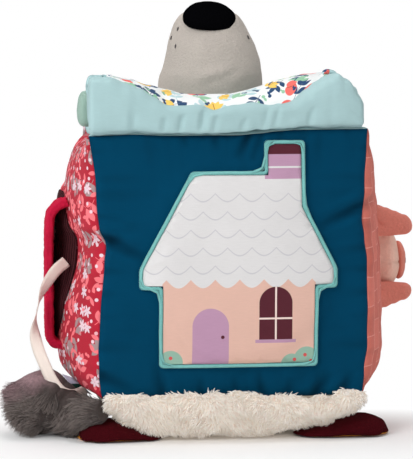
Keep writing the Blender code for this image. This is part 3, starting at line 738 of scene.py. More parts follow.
def from_node(name, node, levels=1, voxel=None):
    """A smooth copy of a CAD node's form."""
    work = bmesh.new()
    work.from_mesh(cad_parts[node].data)
    bmesh.ops.remove_doubles(work, verts=work.verts, dist=0.00002)
    rest = work.verts.layers.float_vector.new("rest")
    for vertex in work.verts:
        vertex[rest] = vertex.co
    thing = object_from(name, work)
    if voxel:
        remesh = thing.modifiers.new("Remesh", "REMESH")
        remesh.mode = "VOXEL"
        remesh.voxel_size = voxel
        baked(thing)
        layer = thing.data.attributes.new("rest", "FLOAT_VECTOR", "POINT")
        for vertex, item in zip(thing.data.vertices, layer.data):
            item.vector = vertex.co
        ease = thing.modifiers.new("Ease", "SMOOTH")
        ease.factor = 0.5
        ease.iterations = 6
        baked(thing)
    if levels:
        smoother(thing, levels)
    thing.data.shade_smooth()
    return thing


def rumpled(size, height, seed=0.0):
    """Soft lumps for a stuffed piece."""
    def amount(_, place):
        spot = place / size + Vector((seed, seed, seed))
        return height * (noise.noise(spot) + 0.4 * noise.noise(spot * 2.7))

    return amount


def shown(thing, body, nodes, slot, material=None):
    """Puts a finished piece on its body, in place of its CAD nodes."""
    if material:
        thing.data.materials.clear()
        thing.data.materials.append(material)
    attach(thing, body)
    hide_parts(*nodes)
    return thing


# The camera and the ribbon

def aimed(name, data, place, aim):
    """A camera or a lamp, turned along its aim."""
    thing = bpy.data.objects.new(name, data)
    thing.location = place
    thing.rotation_euler = aim.to_track_quat("-Z", "Y").to_euler()
    scene.collection.objects.link(thing)
    return thing


def camera():
    lens = bpy.data.cameras.new("camera")
    lens.sensor_width = SENSOR
    lens.lens = FOCAL_PIXELS / PICTURE_TALL * SENSOR
    azimuth, rise = math.radians(CAMERA_AZIMUTH), math.radians(CAMERA_HEIGHT_ANGLE)
    aside, back, up = math.sin(azimuth) * math.cos(rise), math.cos(azimuth) * math.cos(rise), math.sin(rise)
    away = Vector((aside, -back, up))
    scene.camera = aimed("camera", lens, CAMERA_TARGET + away * CAMERA_DISTANCE, -away)


def tie_ribbon():
    """A flat ribbon along its route, which twists once below its top."""
    work = bmesh.new()
    sheet = work.loops.layers.uv.new("cloth")
    rows, path = [], []
    length = 0
    for step in range(RIBBON_STEPS + 1):
        share = step / RIBBON_STEPS
        point, going = along(RIBBON_ROUTE, share)
        length += (point - path[-1]).length if path else 0
        path.append(point)
        twist = RIBBON_TWIST * bell(share - RIBBON_TWIST_SHARE, RIBBON_TWIST_REACH)
        turn = twist + RIBBON_SWAY * math.sin(share * 7)
        wide = going.cross(Vector((0, -1, 0))).normalized()
        thin = wide.cross(going).normalized()
        aside = wide * math.cos(turn) + thin * math.sin(turn)
        away = thin * math.cos(turn) - wide * math.sin(turn)
        row = []
        for u, v in RIBBON_RING:
            cup = RIBBON_CUP * (1 - u * u)
            place = point + aside * (u * RIBBON_WIDTH / 2) + away * (v * RIBBON_THICKNESS / 2 + cup)
            row.append((work.verts.new(place), u * RIBBON_WIDTH / 2, length))
        rows.append(row)
    for low, high in zip(rows, rows[1:]):
        for index in range(len(low)):
            following = (index + 1) % len(low)
            corners = [low[index], low[following], high[following], high[index]]
            face = work.faces.new([corner[0] for corner in corners])
            for loop, (_, across, up) in zip(face.loops, corners):
                loop[sheet].uv = (across, up)
    work.faces.new([corner[0] for corner in rows[0]])
    work.faces.new([corner[0] for corner in reversed(rows[-1])])
    bmesh.ops.recalc_face_normals(work, faces=work.faces)
    ribbon = object_from("tie_ribbon_satin", work)
    shown(ribbon, "block", ["tie_ribbon"], "cream_satin", satin("cream_satin", ink(238, 224, 214)))


# The cover

def fullness(t, power):
    return 1 - min(1, abs(t)) ** power


def block_point(a, b, c):
    """The block's surface: a, b and c run from -1 to 1 between its opposite sides."""
    round_a, round_b, boxy_c = fullness(a, 3), fullness(b, 3), fullness(c, 6)
    crown = SIDE_CROWN * (1 - SIDE_SAG_SHARE * c) * round_b * boxy_c
    pinch = SEAM_PINCH * b * b * fullness(c, 2) + RIM_PINCH * c * c * round_b
    if a < 0:
        across = eased(1 - abs(b + HOLLOW_PLACE_SHARE) / HOLLOW_WIDE_SHARE)
        pinch += HOLLOW_DEPTH * across * eased(1 - abs(c) / HOLLOW_TALL_SHARE)
    x = a * (HALF_WIDTH + crown - pinch)
    y = b * (HALF_DEPTH + FRONT_CROWN * round_a * fullness(c, 3))
    if c > 0:
        swell = TOP_CROWN * round_a * round_b
    else:
        swell = BOTTOM_CROWN * fullness(a, 4) * fullness(b, 4)
    return Vector((x, y, max(0, MIDDLE + c * (HALF_HEIGHT + swell))))


def solved(aim, at):
    low, high = -1, 1
    for _ in range(30):
        half = (low + high) / 2
        if at(half) < aim:
            low = half
        else:
            high = half
    return (low + high) / 2


def on_top(x, y):
    b = max(-1, min(1, y / HALF_DEPTH))
    a = solved(x, lambda t: block_point(t, b, 1).x)
    return Vector((x, y, block_point(a, b, 1).z))


def on_front(x, z):
    c = (z - MIDDLE) / HALF_HEIGHT
    a = solved(x, lambda t: block_point(t, -1, c).x)
    return block_point(a, -1, c)


def on_side(side, y, z):
    return block_point(side, y / HALF_DEPTH, (z - MIDDLE) / HALF_HEIGHT)


# How this block leans and sags: the side seams at the front, the sides' middles and the top front seam
LEFT_LEAN = (
    (-1.0, 0.0044), (-0.92, 0.0020), (-0.81, -0.0002), (-0.6, -0.0024), (-0.3, -0.0028),
    (0.02, -0.0012), (0.155, 0.0002), (0.26, -0.0040), (0.42, -0.0048), (0.7, -0.0038), (1.0, -0.0040),
)
RIGHT_LEAN = (
    (-1.0, -0.0010), (-0.81, 0.0024), (-0.6, 0.0068), (-0.3, 0.0090), (0.02, 0.0092), (0.2, 0.0068),
    (0.34, 0.0044), (0.5, 0.0048), (0.7, 0.0034), (1.0, 0.0014),
)
LEFT_BULGE = (
    (-1.0, -0.0080), (-0.92, -0.0095), (-0.85, -0.0088), (-0.78, -0.0058), (-0.70, -0.0036), (-0.45, 0),
    (0.0, 0), (0.25, 0.0014), (0.5, 0.0030), (0.75, 0.0022), (1.0, 0),
)
RIGHT_BULGE = (
    (-1.0, 0.0066), (-0.9, 0.0080), (-0.81, 0.0066), (-0.72, 0.0028), (-0.60, -0.0014),
    (-0.48, -0.0034), (-0.30, -0.0058), (-0.04, -0.0076), (0.1, -0.0068), (0.45, -0.0042),
    (0.62, -0.0020), (0.75, -0.0004), (1.0, 0),
)
SEAM_RISE = (
    (-1.0, -0.0034), (-0.70, -0.0022), (-0.45, -0.0030), (0.05, -0.0028), (0.20, -0.0016),
    (0.34, -0.0002), (0.48, 0.0008), (1.0, 0.0012),
)

SHOULDER_DROP = 0.0068

# Each panel's axis, and the side of it that the panel is on
PANEL_AXES = {
    "front": (1, -1), "back": (1, 1), "left": (0, -1), "right": (0, 1), "top": (2, 1), "bottom": (2, -1),
}
PANELS = list(PANEL_AXES)

# Creases that run in from the seams: panel, start and end as shares of the half sides, width and depth
CREASES = (
    ("front", (-1.0, 0.22), (-0.62, 0.02), 0.0040, 0.0026),
    ("front", (-0.95, 0.18), (-0.70, 0.30), 0.0035, 0.0012),
    ("front", (0.99, 0.44), (0.66, 0.27), 0.0036, 0.0030),
    ("front", (-1.0, -0.80), (-0.72, -0.93), 0.0042, 0.0026),
    ("front", (-0.50, -1.0), (-0.56, -0.72), 0.0036, 0.0022),
    ("front", (-0.22, -1.0), (-0.24, -0.82), 0.0030, 0.0018),
    ("front", (0.62, -1.0), (0.74, -0.80), 0.0040, 0.0026),
    ("front", (0.84, -0.96), (0.90, -0.80), 0.0034, 0.0020),
    ("front", (0.24, -1.0), (0.20, -0.78), 0.0034, 0.0022),
    ("front", (0.05, -1.0), (0.02, -0.82), 0.0030, 0.0018),
    ("front", (0.42, -1.0), (0.45, -0.84), 0.0030, 0.0018),
    ("front", (0.14, 1.0), (0.04, 0.78), 0.0034, 0.0028),
    ("front", (0.22, 1.0), (0.16, 0.76), 0.0030, 0.0024),
    ("front", (-0.12, 1.0), (-0.10, 0.86), 0.0030, 0.0018),
    ("front", (-0.34, 1.0), (-0.33, 0.88), 0.0028, 0.0014),
    ("left", (-1.0, 0.22), (-0.78, 0.20), 0.0050, 0.0030),
    ("left", (-0.6, -1.0), (-0.3, -0.7), 0.0050, 0.0020),
    ("left", (0.9, 1.0), (0.3, 0.6), 0.0060, 0.0018),
    ("right", (-1.0, 0.44), (-0.70, 0.52), 0.0040, 0.0028),
    ("right", (-0.5, 1.0), (-0.42, 0.75), 0.0045, 0.0022),
    ("right", (0.6, -1.0), (0.4, -0.72), 0.0050, 0.0022),
    ("back", (-1.0, 0.3), (-0.6, 0.15), 0.0045, 0.0024),
    ("back", (1.0, -0.2), (0.65, -0.05), 0.0045, 0.0024),
    ("back", (0.3, -1.0), (0.25, -0.7), 0.0040, 0.0018),
)


def panel_at(rest):
    """The panel that a point of the cage is on, its place there from -1 to 1, and the half sides."""
    sizes = [abs(part) for part in rest]
    axis = sizes.index(max(sizes))
    place = (axis, 1 if rest[axis] > 0 else -1)
    panel = next(name for name in PANELS if PANEL_AXES[name] == place)
    others = [other for other in range(3) if other != axis]
    return panel, [rest[other] for other in others], [HALVES[other] for other in others]


def crease_depth(panel, u, v, halves):
    total = 0
    place = Vector((u * halves[0], v * halves[1]))
    for name, start, end, width, depth in CREASES:
        if name != panel:
            continue
        first = Vector((start[0] * halves[0], start[1] * halves[1]))
        span = Vector((end[0] * halves[0], end[1] * halves[1])) - first
        share = max(0, min(1, (place - first).dot(span) / span.length_squared))
        reach = (place - first - span * share).length
        fade = (1 - share) ** 0.7
        total -= depth * fade * bell(reach, width)
        total += 0.35 * depth * fade * bell(reach - width * 2, width)
    return total


def cover_relief(rest, _):
    """Seams drawn in, puckers that run off them, creases and soft lumps."""
    panel, (u, v), halves = panel_at(rest)
    from_u, from_v = (1 - abs(u)) * halves[0], (1 - abs(v)) * halves[1]
    seed = PANELS.index(panel) * 9.7
    total = -SEAM_DEPTH * bell(min(from_u, from_v), SEAM_REACH)
    for reach, run, mark in ((from_u, v * halves[1], u), (from_v, u * halves[0], v)):
        place = Vector((run / PUCKER_PITCH, seed + (3 if mark > 0 else 0), reach / (PUCKER_PITCH * 3)))
        ridge = noise.noise(place) + 0.5 * noise.noise(place * 2.1)
        total += PUCKER_HEIGHT * ridge * math.exp(-reach / PUCKER_REACH) * (1 - math.exp(-reach / SEAM_REACH))
    inner = min(1, min(from_u, from_v) / SEAM_FLAT)
    place = Vector((u * halves[0], v * halves[1], seed * 0.01))
    total += LUMP_HEIGHT * noise.noise(place / LUMP_SIZE) * inner
    total += SMALL_LUMP_HEIGHT * noise.noise(place / SMALL_LUMP_SIZE) * inner
    total += crease_depth(panel, u, v, halves) * inner
    return total


def cover_point(a, b, c):
    """The block's surface, with the leans and sags that the stuffing gives this one."""
    point = block_point(a, b, c)
    near = ((1 - b) / 2) ** 2.5
    seam = read_line(LEFT_LEAN if a < 0 else RIGHT_LEAN, c) * abs(a) ** 2.5 * near
    bulge = read_line(LEFT_BULGE if a < 0 else RIGHT_BULGE, c) * abs(a) ** 4 * fullness(b, 2)
    point.x += seam + bulge
    if c > 0:
        point.z += read_line(SEAM_RISE, a) * c**6 * near * near
        shoulder = eased((b + 0.95) / 0.3) * eased((1 - b) / 0.2)
        point.z -= SHOULDER_DROP * shoulder * c**6 * eased((-a - 0.6) / 0.4)
    return point


def cover_cage():
    work = bmesh.new()
    bmesh.ops.create_cube(work, size=2)
    bmesh.ops.subdivide_edges(work, edges=work.edges[:], cuts=COVER_CELLS - 1, use_grid_fill=True)
    rest = work.verts.layers.float_vector.new("rest")
    for face in work.faces:
        middle = face.calc_center_median()
        for index, name in enumerate(PANELS):
            axis, side = PANEL_AXES[name]
            if middle[axis] * side > 0.9999:
                face.material_index = index
    for vertex in work.verts:
        vertex[rest] = vertex.co
        vertex.co = cover_point(*vertex.co)
    return object_from("cover", work)


COVER_SLOTS = {
    "front": "teal_cotton", "back": "teal_cotton", "left": "red_print_cotton", "right": "brick_print_cotton",
    "top": "pale_blue_cotton", "bottom": "cream_cotton",
}


def panel_of(cover, name, material):
    """Cuts one panel out of the cover, and lays its chart along its sides."""
    others = [other for other in range(3) if other != PANEL_AXES[name][0]]

    def charted(work):
        rest = work.verts.layers.float_vector["rest"]
        sheet = work.loops.layers.uv.new("cloth")
        for face in work.faces:
            for loop in face.loops:
                loop[sheet].uv = [loop.vert[rest][other] * HALVES[other] for other in others]

    thing = cut_out(cover, PANELS.index(name), name + "_cover", charted)
    shown(thing, "block", [name + "_panel"], COVER_SLOTS[name], material)


def painted_crease_shade(rest):
    """How deep the shade painted into the creases and puckers is, from 0 to 1."""
    panel, (u, v), halves = panel_at(rest)
    depth = -crease_depth(panel, u, v, halves) / 0.0034
    from_u, from_v = (1 - abs(u)) * halves[0], (1 - abs(v)) * halves[1]
    for reach, run in ((from_u, v * halves[1]), (from_v, u * halves[0])):
        ridge = noise.noise(Vector((run / PUCKER_PITCH * 1.3, PANELS.index(panel) * 5.1, reach / 0.04)))
        depth += max(0, -ridge) * math.exp(-reach / 0.014) * 0.9
    return max(0, min(1, depth))


PALE_BLUE = ink(168, 199, 201)


def cover():
    """Makes the six panels, and returns the skin that other pieces lie on."""
    # The hollow factors set how dark the painted shade in the creases and puckers is.
    teal = plain_cotton("teal_cotton", ink(0, 64, 94), wash=0.18, gloss=0.04, hollow=0.62)
    materials = {
        "front": teal,
        "back": teal,
        "left": plain_cotton("red_print_cotton", ink(198, 34, 58), printed=flowered, hollow=0.35),
        "right": plain_cotton("brick_print_cotton", ink(226, 126, 112), printed=bricks, hollow=0.35),
        "top": plain_cotton("pale_blue_cotton", PALE_BLUE),
        "bottom": plain_cotton("cream_cotton", ink(222, 212, 196)),
    }
    cage = cover_cage()
    weights = {}
    for index, item in enumerate(cage.data.attributes["rest"].data):
        sizes = sorted(abs(part) for part in tuple(item.vector))
        weights[index] = math.exp(-((1 - sizes[1]) * HALF_WIDTH / SEAM_FLAT))
    inflated(cage, pressure=3.0, cap=0.0015, seam=weights, shrink=0.10)
    smoother(cage)
    pushed(cage, cover_relief)
    kept_above(cage, COVER_LOWEST)
    # Painted shade: the hollow number at each point darkens the cotton in the creases and puckers.
    layer = cage.data.attributes.new("hollow", "FLOAT", "POINT")
    for item, rest in zip(layer.data, cage.data.attributes["rest"].data):
        item.value = painted_crease_shade(rest.vector)
    for name in PANELS:
        panel_of(cage, name, materials[name])
    tree = BVHTree.FromObject(cage, bpy.context.evaluated_depsgraph_get())
    bpy.data.objects.remove(cage, do_unlink=True)
    return tree


def lying_at(axis, side, place):
    """The cover's reach along an axis, seen from outside at a place."""
    start = Vector(place)
    start[axis] = side
    going = Vector((0, 0, 0))
    going[axis] = -side
    hit, _, _, _ = COVER_SKIN.ray_cast(start, going)
    return hit[axis] if hit else None


# Geometry Nodes: stitches and pile

class Tree(Nodes):
    """A Geometry Nodes tree with named inputs for its sizes."""

    def __init__(self, name, inputs):
        super().__init__(bpy.data.node_groups.new(name, "GeometryNodeTree"))
        face = self.tree.interface
        face.new_socket("Geometry", in_out="OUTPUT", socket_type="NodeSocketGeometry")
        face.new_socket("Geometry", in_out="INPUT", socket_type="NodeSocketGeometry")
        self.sockets = {}
        for kind, labels in inputs.items():
            for label in labels:
                socket = face.new_socket(label, in_out="INPUT", socket_type="NodeSocket" + kind)
                self.sockets[label] = socket.identifier
        self.inputs = self.tree.nodes.new("NodeGroupInput").outputs

    def made(self, kind, settings, values):
        return self.node(kind, settings, values).outputs[0]

    def vector(self, operation, *values):
        return self.made("ShaderNodeVectorMath", {"operation": operation}, dict(enumerate(values)))

    def number(self, operation, *values):
        return self.made("ShaderNodeMath", {"operation": operation}, dict(enumerate(values)))

    def scaled(self, vector, factor):
        return self.made("ShaderNodeVectorMath", {"operation": "SCALE"}, {0: vector, "Scale": factor})

    def joined(self, x, y, z):
        return self.made("ShaderNodeCombineXYZ", {}, {0: x, 1: y, 2: z})

    def place(self):
        return self.made("GeometryNodeInputPosition", {}, {})

    def attribute(self, name):
        return self.made("GeometryNodeInputNamedAttribute", {"data_type": "FLOAT_VECTOR"}, {"Name": name})

    def aligned(self, axis, vector, pivot="AUTO", rotation=None):
        values = {"Vector": vector}
        if rotation:
            values["Rotation"] = rotation
        return self.made("FunctionNodeAlignRotationToVector", {"axis": axis, "pivot_axis": pivot}, values)

    def ended(self, geometry, material):
        """Real meshes, shaded smooth, with their material."""
        real = self.made("GeometryNodeRealizeInstances", {}, {"Geometry": geometry})
        smooth = self.made("GeometryNodeSetShadeSmooth", {}, {"Geometry": real})
        painted = self.made("GeometryNodeSetMaterial", {}, {"Geometry": smooth, "Material": material})
        self.node("NodeGroupOutput", {}, {0: painted})
        return self

    def run(self, thing, values):
        """Runs the tree on an object, and keeps the result as its mesh."""
        modifier = thing.modifiers.new("Tree", "NODES")
        modifier.node_group = self.tree
        for label, value in values.items():
            modifier[self.sockets[label]] = value
        thing.update_tag()
        return baked(thing)


def stitch_tree():
    """A rounded thread on each point, along its "ahead" and away from its "out"."""
    tree = Tree("stitches", {"Float": ("Length", "Thickness"), "Material": ("Thread",)})
    inputs = tree.inputs
    bead = tree.made("GeometryNodeMeshUVSphere", {}, {"Segments": 6, "Rings": 5, "Radius": 0.5})
    ahead = tree.aligned("X", tree.attribute("ahead"))
    values = {
        "Points": inputs["Geometry"], "Instance": bead,
        "Rotation": tree.aligned("Z", tree.attribute("out"), "X", ahead),
        "Scale": tree.joined(inputs["Length"], inputs["Thickness"], inputs["Thickness"]),
    }
    return tree.ended(tree.made("GeometryNodeInstanceOnPoints", {}, values), inputs["Thread"])


FLOOR_CLEARANCE = 0.0003


def pile_tree():
    """Tapered, bent strands on a skin, that lie along its "flow" and clump together."""
    tree = Tree("pile", {
        "Float": ("Density", "Length", "Width", "Lean", "Wander", "Clump", "Bend"),
        "Int": ("Seed",), "Material": ("Pile",),
    })
    inputs = tree.inputs
    values = {"Vertices": 3, "Side Segments": 2, "Radius Top": 0.12, "Radius Bottom": 0.5, "Depth": 1.0}
    strand = tree.made("GeometryNodeMeshCone", {"fill_type": "NONE"}, values)
    height = tree.node("ShaderNodeSeparateXYZ", {}, {0: tree.place()}).outputs[2]
    values = {"Geometry": strand, "Name": "cloth", "Value": tree.joined(0.0, height, 0.0)}
    marked = tree.made("GeometryNodeStoreNamedAttribute", {"data_type": "FLOAT2", "domain": "CORNER"}, values)
    sway = tree.number("MULTIPLY", tree.number("MULTIPLY", height, height), inputs["Bend"])
    values = {"Geometry": marked, "Offset": tree.joined(sway, 0.0, 0.0)}
    bent = tree.made("GeometryNodeSetPosition", {}, values)

    values = {"Mesh": inputs["Geometry"], "Density": inputs["Density"], "Seed": inputs["Seed"]}
    spread = tree.node("GeometryNodeDistributePointsOnFaces", {}, values)
    flow = tree.attribute("flow")
    values = {"Vector": tree.place(), "Scale": inputs["Clump"], "Detail": 1.5}
    drift = tree.node("ShaderNodeTexNoise", {}, values).outputs["Color"]
    drift = tree.scaled(tree.vector("SUBTRACT", drift, (0.5, 0.5, 0.5)), inputs["Wander"])
    values = {0: (-1, -1, -1), 1: (1, 1, 1), "Seed": inputs["Seed"]}
    stray = tree.made("FunctionNodeRandomValue", {"data_type": "FLOAT_VECTOR"}, values)
    out = tree.scaled(spread.outputs["Normal"], tree.number("SUBTRACT", 1.0, inputs["Lean"]))
    going = tree.vector("ADD", out, tree.scaled(flow, inputs["Lean"]))
    going = tree.vector("ADD", going, tree.vector("ADD", drift, tree.scaled(stray, 0.12)))
    values = {2: 0.65, 3: 1.15, "Seed": inputs["Seed"]}
    uneven = tree.node("FunctionNodeRandomValue", {"data_type": "FLOAT"}, values).outputs[1]
    tall = tree.number("MULTIPLY", uneven, inputs["Length"])
    values = {
        "Points": spread.outputs["Points"], "Instance": bent,
        "Rotation": tree.aligned("X", flow, "Z", tree.aligned("Z", going)),
        "Scale": tree.joined(inputs["Width"], inputs["Width"], tall),
    }
    strands = tree.made("GeometryNodeInstanceOnPoints", {}, values)
    real = tree.made("GeometryNodeRealizeInstances", {}, {"Geometry": strands})
    both = tree.node("GeometryNodeJoinGeometry", {}, {"Geometry": real})
    tree.feed(both.inputs[0], inputs["Geometry"])
    x, y, z = tree.node("ShaderNodeSeparateXYZ", {}, {0: tree.place()}).outputs
    lifted = tree.joined(x, y, tree.number("MAXIMUM", z, FLOOR_CLEARANCE))
    values = {"Geometry": both.outputs[0], "Position": lifted}
    return tree.ended(tree.made("GeometryNodeSetPosition", {}, values), inputs["Pile"])


STITCH_TREE = stitch_tree()
PILE_TREE = pile_tree()


def stitches(name, spots, length, thickness, material):
    """One mesh of threads on the block: each spot has a place, the thread's direction and the way out."""
    mesh = bpy.data.meshes.new(name)
    mesh.from_pydata([spot[0] for spot in spots], [], [])
    for label, index in (("ahead", 1), ("out", 2)):
        layer = mesh.attributes.new(label, "FLOAT_VECTOR", "POINT")
        for item, spot in zip(layer.data, spots):
            item.vector = spot[index]
    thing = bpy.data.objects.new(name, mesh)
    scene.collection.objects.link(thing)
    STITCH_TREE.run(thing, {"Length": length, "Thickness": thickness, "Thread": material})
    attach(thing, "block")


def furred(thing, flow, material, **sizes):
    """Covers a skin with pile that lies along flow(place). The sizes are the pile tree's inputs."""
    layer = thing.data.attributes.new("flow", "FLOAT_VECTOR", "POINT")
    for vertex, item in zip(thing.data.vertices, layer.data):
        item.vector = flow(vertex.co)
    values = {label.capitalize(): value for label, value in sizes.items()}
    return PILE_TREE.run(thing, {**values, "Pile": material})


# The blanket roll: its top line, and the line where the blue cloth folds over, in metres over the seam

ROLL_TOP = (
    (-0.0930, 0.0362), (-0.0790, 0.0358), (-0.0650, 0.0332), (-0.0520, 0.0296), (-0.0410, 0.0270),
    (-0.0276, 0.0243), (-0.0020, 0.0240), (0.0120, 0.0256), (0.0225, 0.0274), (0.0355, 0.0304),
    (0.0540, 0.0338), (0.0650, 0.0352), (0.0705, 0.0345), (0.0745, 0.0300), (0.0850, 0.0235),
    (0.0885, 0.0150),
)
ROLL_FOLD = (
    (-0.0930, 0.0345), (-0.0800, 0.0340), (-0.0690, 0.0300), (-0.0600, 0.0265), (-0.0516, 0.0225),
    (-0.0410, 0.0172), (-0.0200, 0.0168), (-0.0115, 0.0136), (-0.0020, 0.0156), (0.0020, 0.0164),
    (0.0120, 0.0182), (0.0260, 0.0150), (0.0400, 0.0140), (0.0500, 0.0196), (0.0570, 0.0246),
    (0.0640, 0.0290), (0.0700, 0.0335), (0.0750, 0.0300), (0.0885, 0.0150),
)
ROLL_LEFT, ROLL_RIGHT = -0.0935, 0.0884
ROLL_FRONT, ROLL_BACK = -0.0925, -0.0550
ROLL_POINTS = 12
PRINT_LEFT, PRINT_RIGHT = -0.0800, 0.0675
PRINT_ROWS = (4, 7)
ROLL_AROUND, ROLL_STEPS = 96, 132
ROLL_CLEARANCE = 0.0008

# Creases down the roll's front: where, width, depth, and the rows that they run between
ROLL_CREASES = (
    (-0.0195, 0.0022, 0.0025, 0.2, 2.8), (-0.0110, 0.0016, 0.0012, 0.1, 2.2),
    (0.0215, 0.0018, 0.0012, 0.1, 2.6), (0.0290, 0.0018, 0.0012, 0.1, 2.6),
    (-0.0330, 0.0018, 0.0018, 0.1, 1.9), (-0.0440, 0.0016, 0.0014, 0.1, 1.6),
    (0.0080, 0.0018, 0.0016, 0.1, 1.5), (0.0520, 0.0022, 0.0014, 0.1, 1.6),
    (-0.0640, 0.0024, 0.0010, 0.1, 1.4),
)


def seam_height(x):
    return BLOCK_TOP + read_line(SEAM_RISE, x / HALF_WIDTH)


def roll_section(x):
    """The roll's outline at x, from the front seam over the top to its back and underside."""
    fold, top = read_line(ROLL_FOLD, x), read_line(ROLL_TOP, x)
    fold = min(fold, top - 0.0002)
    middle, half = (PRINT_LEFT + PRINT_RIGHT) / 2, (PRINT_RIGHT - PRINT_LEFT) / 2
    narrow = min(1, abs(x - middle) / half) ** 4
    base = seam_height(x)
    under_back = on_top(x, ROLL_BACK).z + ROLL_CLEARANCE
    under_middle = on_top(x, -0.074).z + ROLL_CLEARANCE
    outline = (
        (ROLL_FRONT - 0.0002, base - 0.0014), (ROLL_FRONT - 0.0022, base + fold * 0.36),
        (ROLL_FRONT - 0.0014, base + fold * 0.80), (ROLL_FRONT + 0.0030, base + fold + 0.0004),
        (between(ROLL_FRONT + 0.0075, -0.0690, narrow), base + between(fold - 0.0006, top, narrow)),
        (between(-0.0745, -0.0680, narrow), base + between(fold + (top - fold) * 0.55, top, narrow)),
        (between(-0.0655, -0.0670, narrow), base + between(fold + (top - fold) * 0.90, top, narrow)),
        (between(-0.0600, -0.0655, narrow), base + top),
        (ROLL_BACK - 0.0012, base + top * 0.86), (ROLL_BACK, base + top * 0.45),
        (ROLL_BACK - 0.0010, under_back), ((ROLL_FRONT + ROLL_BACK) / 2, under_middle),
    )
    return [Vector((x, y, z)) for y, z in outline]


def rolled(section_at, s, x, left, right, round_off):
    """A point of a roll whose ends are drawn in."""
    points = section_at(x)
    reach = max(0, round_off - min(x - left, right - x)) / round_off
    keep = max(0, 1 - reach**4) ** (1 / 3)
    middle = sum(points, Vector()) / len(points)
    middle.z -= 0.2 * (max(point.z for point in points) - middle.z)
    return middle + (closed_curve(points, s) - middle) * keep


def roll_relief(rest, spot):
    """Puckers off the seams, the print's sunk edge, the front's creases and soft lumps."""
    row, x = rest[0] * ROLL_POINTS, spaced(rest[1], ROLL_LEFT, ROLL_RIGHT)
    from_seam = min(abs(row), ROLL_POINTS - row)
    ridge = noise.noise(Vector((x / 0.0105, 4.1, row * 0.3)))
    ridge += 0.5 * noise.noise(Vector((x / 0.0048, 8.2, 0)))
    total = 0.0013 * ridge * math.exp(-from_seam / 0.9) - 0.0011 * bell(from_seam, 0.18)
    if PRINT_LEFT - 0.004 < x < PRINT_RIGHT + 0.004:
        total -= 0.0009 * bell(row - PRINT_ROWS[0], 0.16)
        total += 0.0011 * noise.noise(Vector((x / 0.012, 1.7, 0))) * bell(row - 3.4, 0.8)
    total += 0.0008 * noise.noise(spot / 0.026) + 0.00025 * noise.noise(spot / 0.009)
    for where, width, depth, low_row, high_row in ROLL_CREASES:
        inside = eased((row - low_row) / 0.6) * eased((high_row - row) / 0.6)
        total -= depth * inside * bell(x - where - (row - 1) * 0.0016, width)
    return total


def blanket_roll():
    """The stuffed roll. The print is let into it, and both are cut from one skin."""
    sections = {}

    def section_at(x):
        if x not in sections:
            sections[x] = roll_section(x)
        return sections[x]

    def place(s, t):
        return rolled(section_at, s, spaced(t, ROLL_LEFT, ROLL_RIGHT), ROLL_LEFT, ROLL_RIGHT, 0.0052)

    def chart(s, t):
        return spaced(t, ROLL_LEFT, ROLL_RIGHT), s * ROLL_POINTS * 0.0095

    roll = skin("roll", place, ROLL_AROUND, ROLL_STEPS, chart)
    marks = roll.data.attributes["rest"].data
    for polygon in roll.data.polygons:
        rests = [marks[index].vector for index in polygon.vertices]
        rows = [rest[0] * ROLL_POINTS for rest in rests]
        x = spaced(sum(rest[1] for rest in rests) / len(rests), ROLL_LEFT, ROLL_RIGHT)
        across = PRINT_LEFT < x < PRINT_RIGHT
        upward = PRINT_ROWS[0] < sum(rows) / len(rows) < PRINT_ROWS[1] and max(rows) - min(rows) < 1
        polygon.material_index = 1 if across and upward else 0
    inflated(roll, pressure=2.0, cap=0.0018)
    pushed(roll, roll_relief)
    smoother(roll)
    printed = plain_cotton("garden_cotton", ink(236, 238, 238), printed=garden, wash=0.05)
    kinds = (
        ("roll_cover", "blanket_roll", "pale_blue_cotton", plain_cotton("roll_cotton", PALE_BLUE)),
        ("roll_print", "blanket_print", "white_print_cotton", printed),
    )
    for index, (name, node, slot, material) in enumerate(kinds):
        shown(cut_out(roll, index, name), "blanket", [node], slot, material)
    bpy.data.objects.remove(roll, do_unlink=True)


LINING_TOP = (
    (-0.0980, 0.0232), (-0.0850, 0.0236), (-0.0550, 0.0210), (-0.0200, 0.0125), (0.0200, 0.0125),
    (0.0550, 0.0200), (0.0870, 0.0192),
)
LINING_LEFT, LINING_RIGHT = -0.0985, 0.0870
LINING_FRONT, LINING_BACK = -0.0543, -0.0308
LINING_CLEARANCE = 0.0009


def lining_section(x):
    top = read_line(LINING_TOP, x)
    middle = (LINING_FRONT + LINING_BACK) / 2
    outline = (
        (LINING_FRONT + 0.001, on_top(x, LINING_FRONT).z + LINING_CLEARANCE),
        (LINING_FRONT, BLOCK_TOP + top * 0.6), (LINING_FRONT + 0.004, BLOCK_TOP + top * 0.96),
        (middle, BLOCK_TOP + top), (LINING_BACK - 0.003, BLOCK_TOP + top * 0.93),
        (LINING_BACK, BLOCK_TOP + top * 0.62),
        (LINING_BACK - 0.001, on_top(x, LINING_BACK).z + LINING_CLEARANCE),
        (middle, on_top(x, middle).z + LINING_CLEARANCE),
    )
    return [Vector((x, y, z)) for y, z in outline]


def lining_relief(rest, spot):
    """Two folds along the lining, and soft lumps."""
    fold = bell(rest[0] - 0.40, 0.035) + 0.8 * bell(rest[0] - 0.27, 0.03)
    ripple = noise.noise(Vector((spot.x / 0.008, rest[0] * 3, 2)))
    return 0.0012 * noise.noise(spot / 0.018) - 0.0016 * fold + 0.0006 * ripple


def blanket_lining():
    def place(s, t):
        x = spaced(t, LINING_LEFT, LINING_RIGHT)
        return rolled(lining_section, s, x, LINING_LEFT, LINING_RIGHT, 0.0060)

    def chart(s, t):
        return spaced(t, LINING_LEFT, LINING_RIGHT), s * 0.07

    lining = skin("lining_cover", place, around=64, steps=110, chart=chart)
    inflated(lining, pressure=2.0, cap=0.0012)
    pushed(lining, lining_relief)
    sage = plain_cotton("sage_cotton", ink(150, 178, 166))
    shown(smoother(lining), "block", ["blanket_lining"], "sage_cotton", sage)


# The head

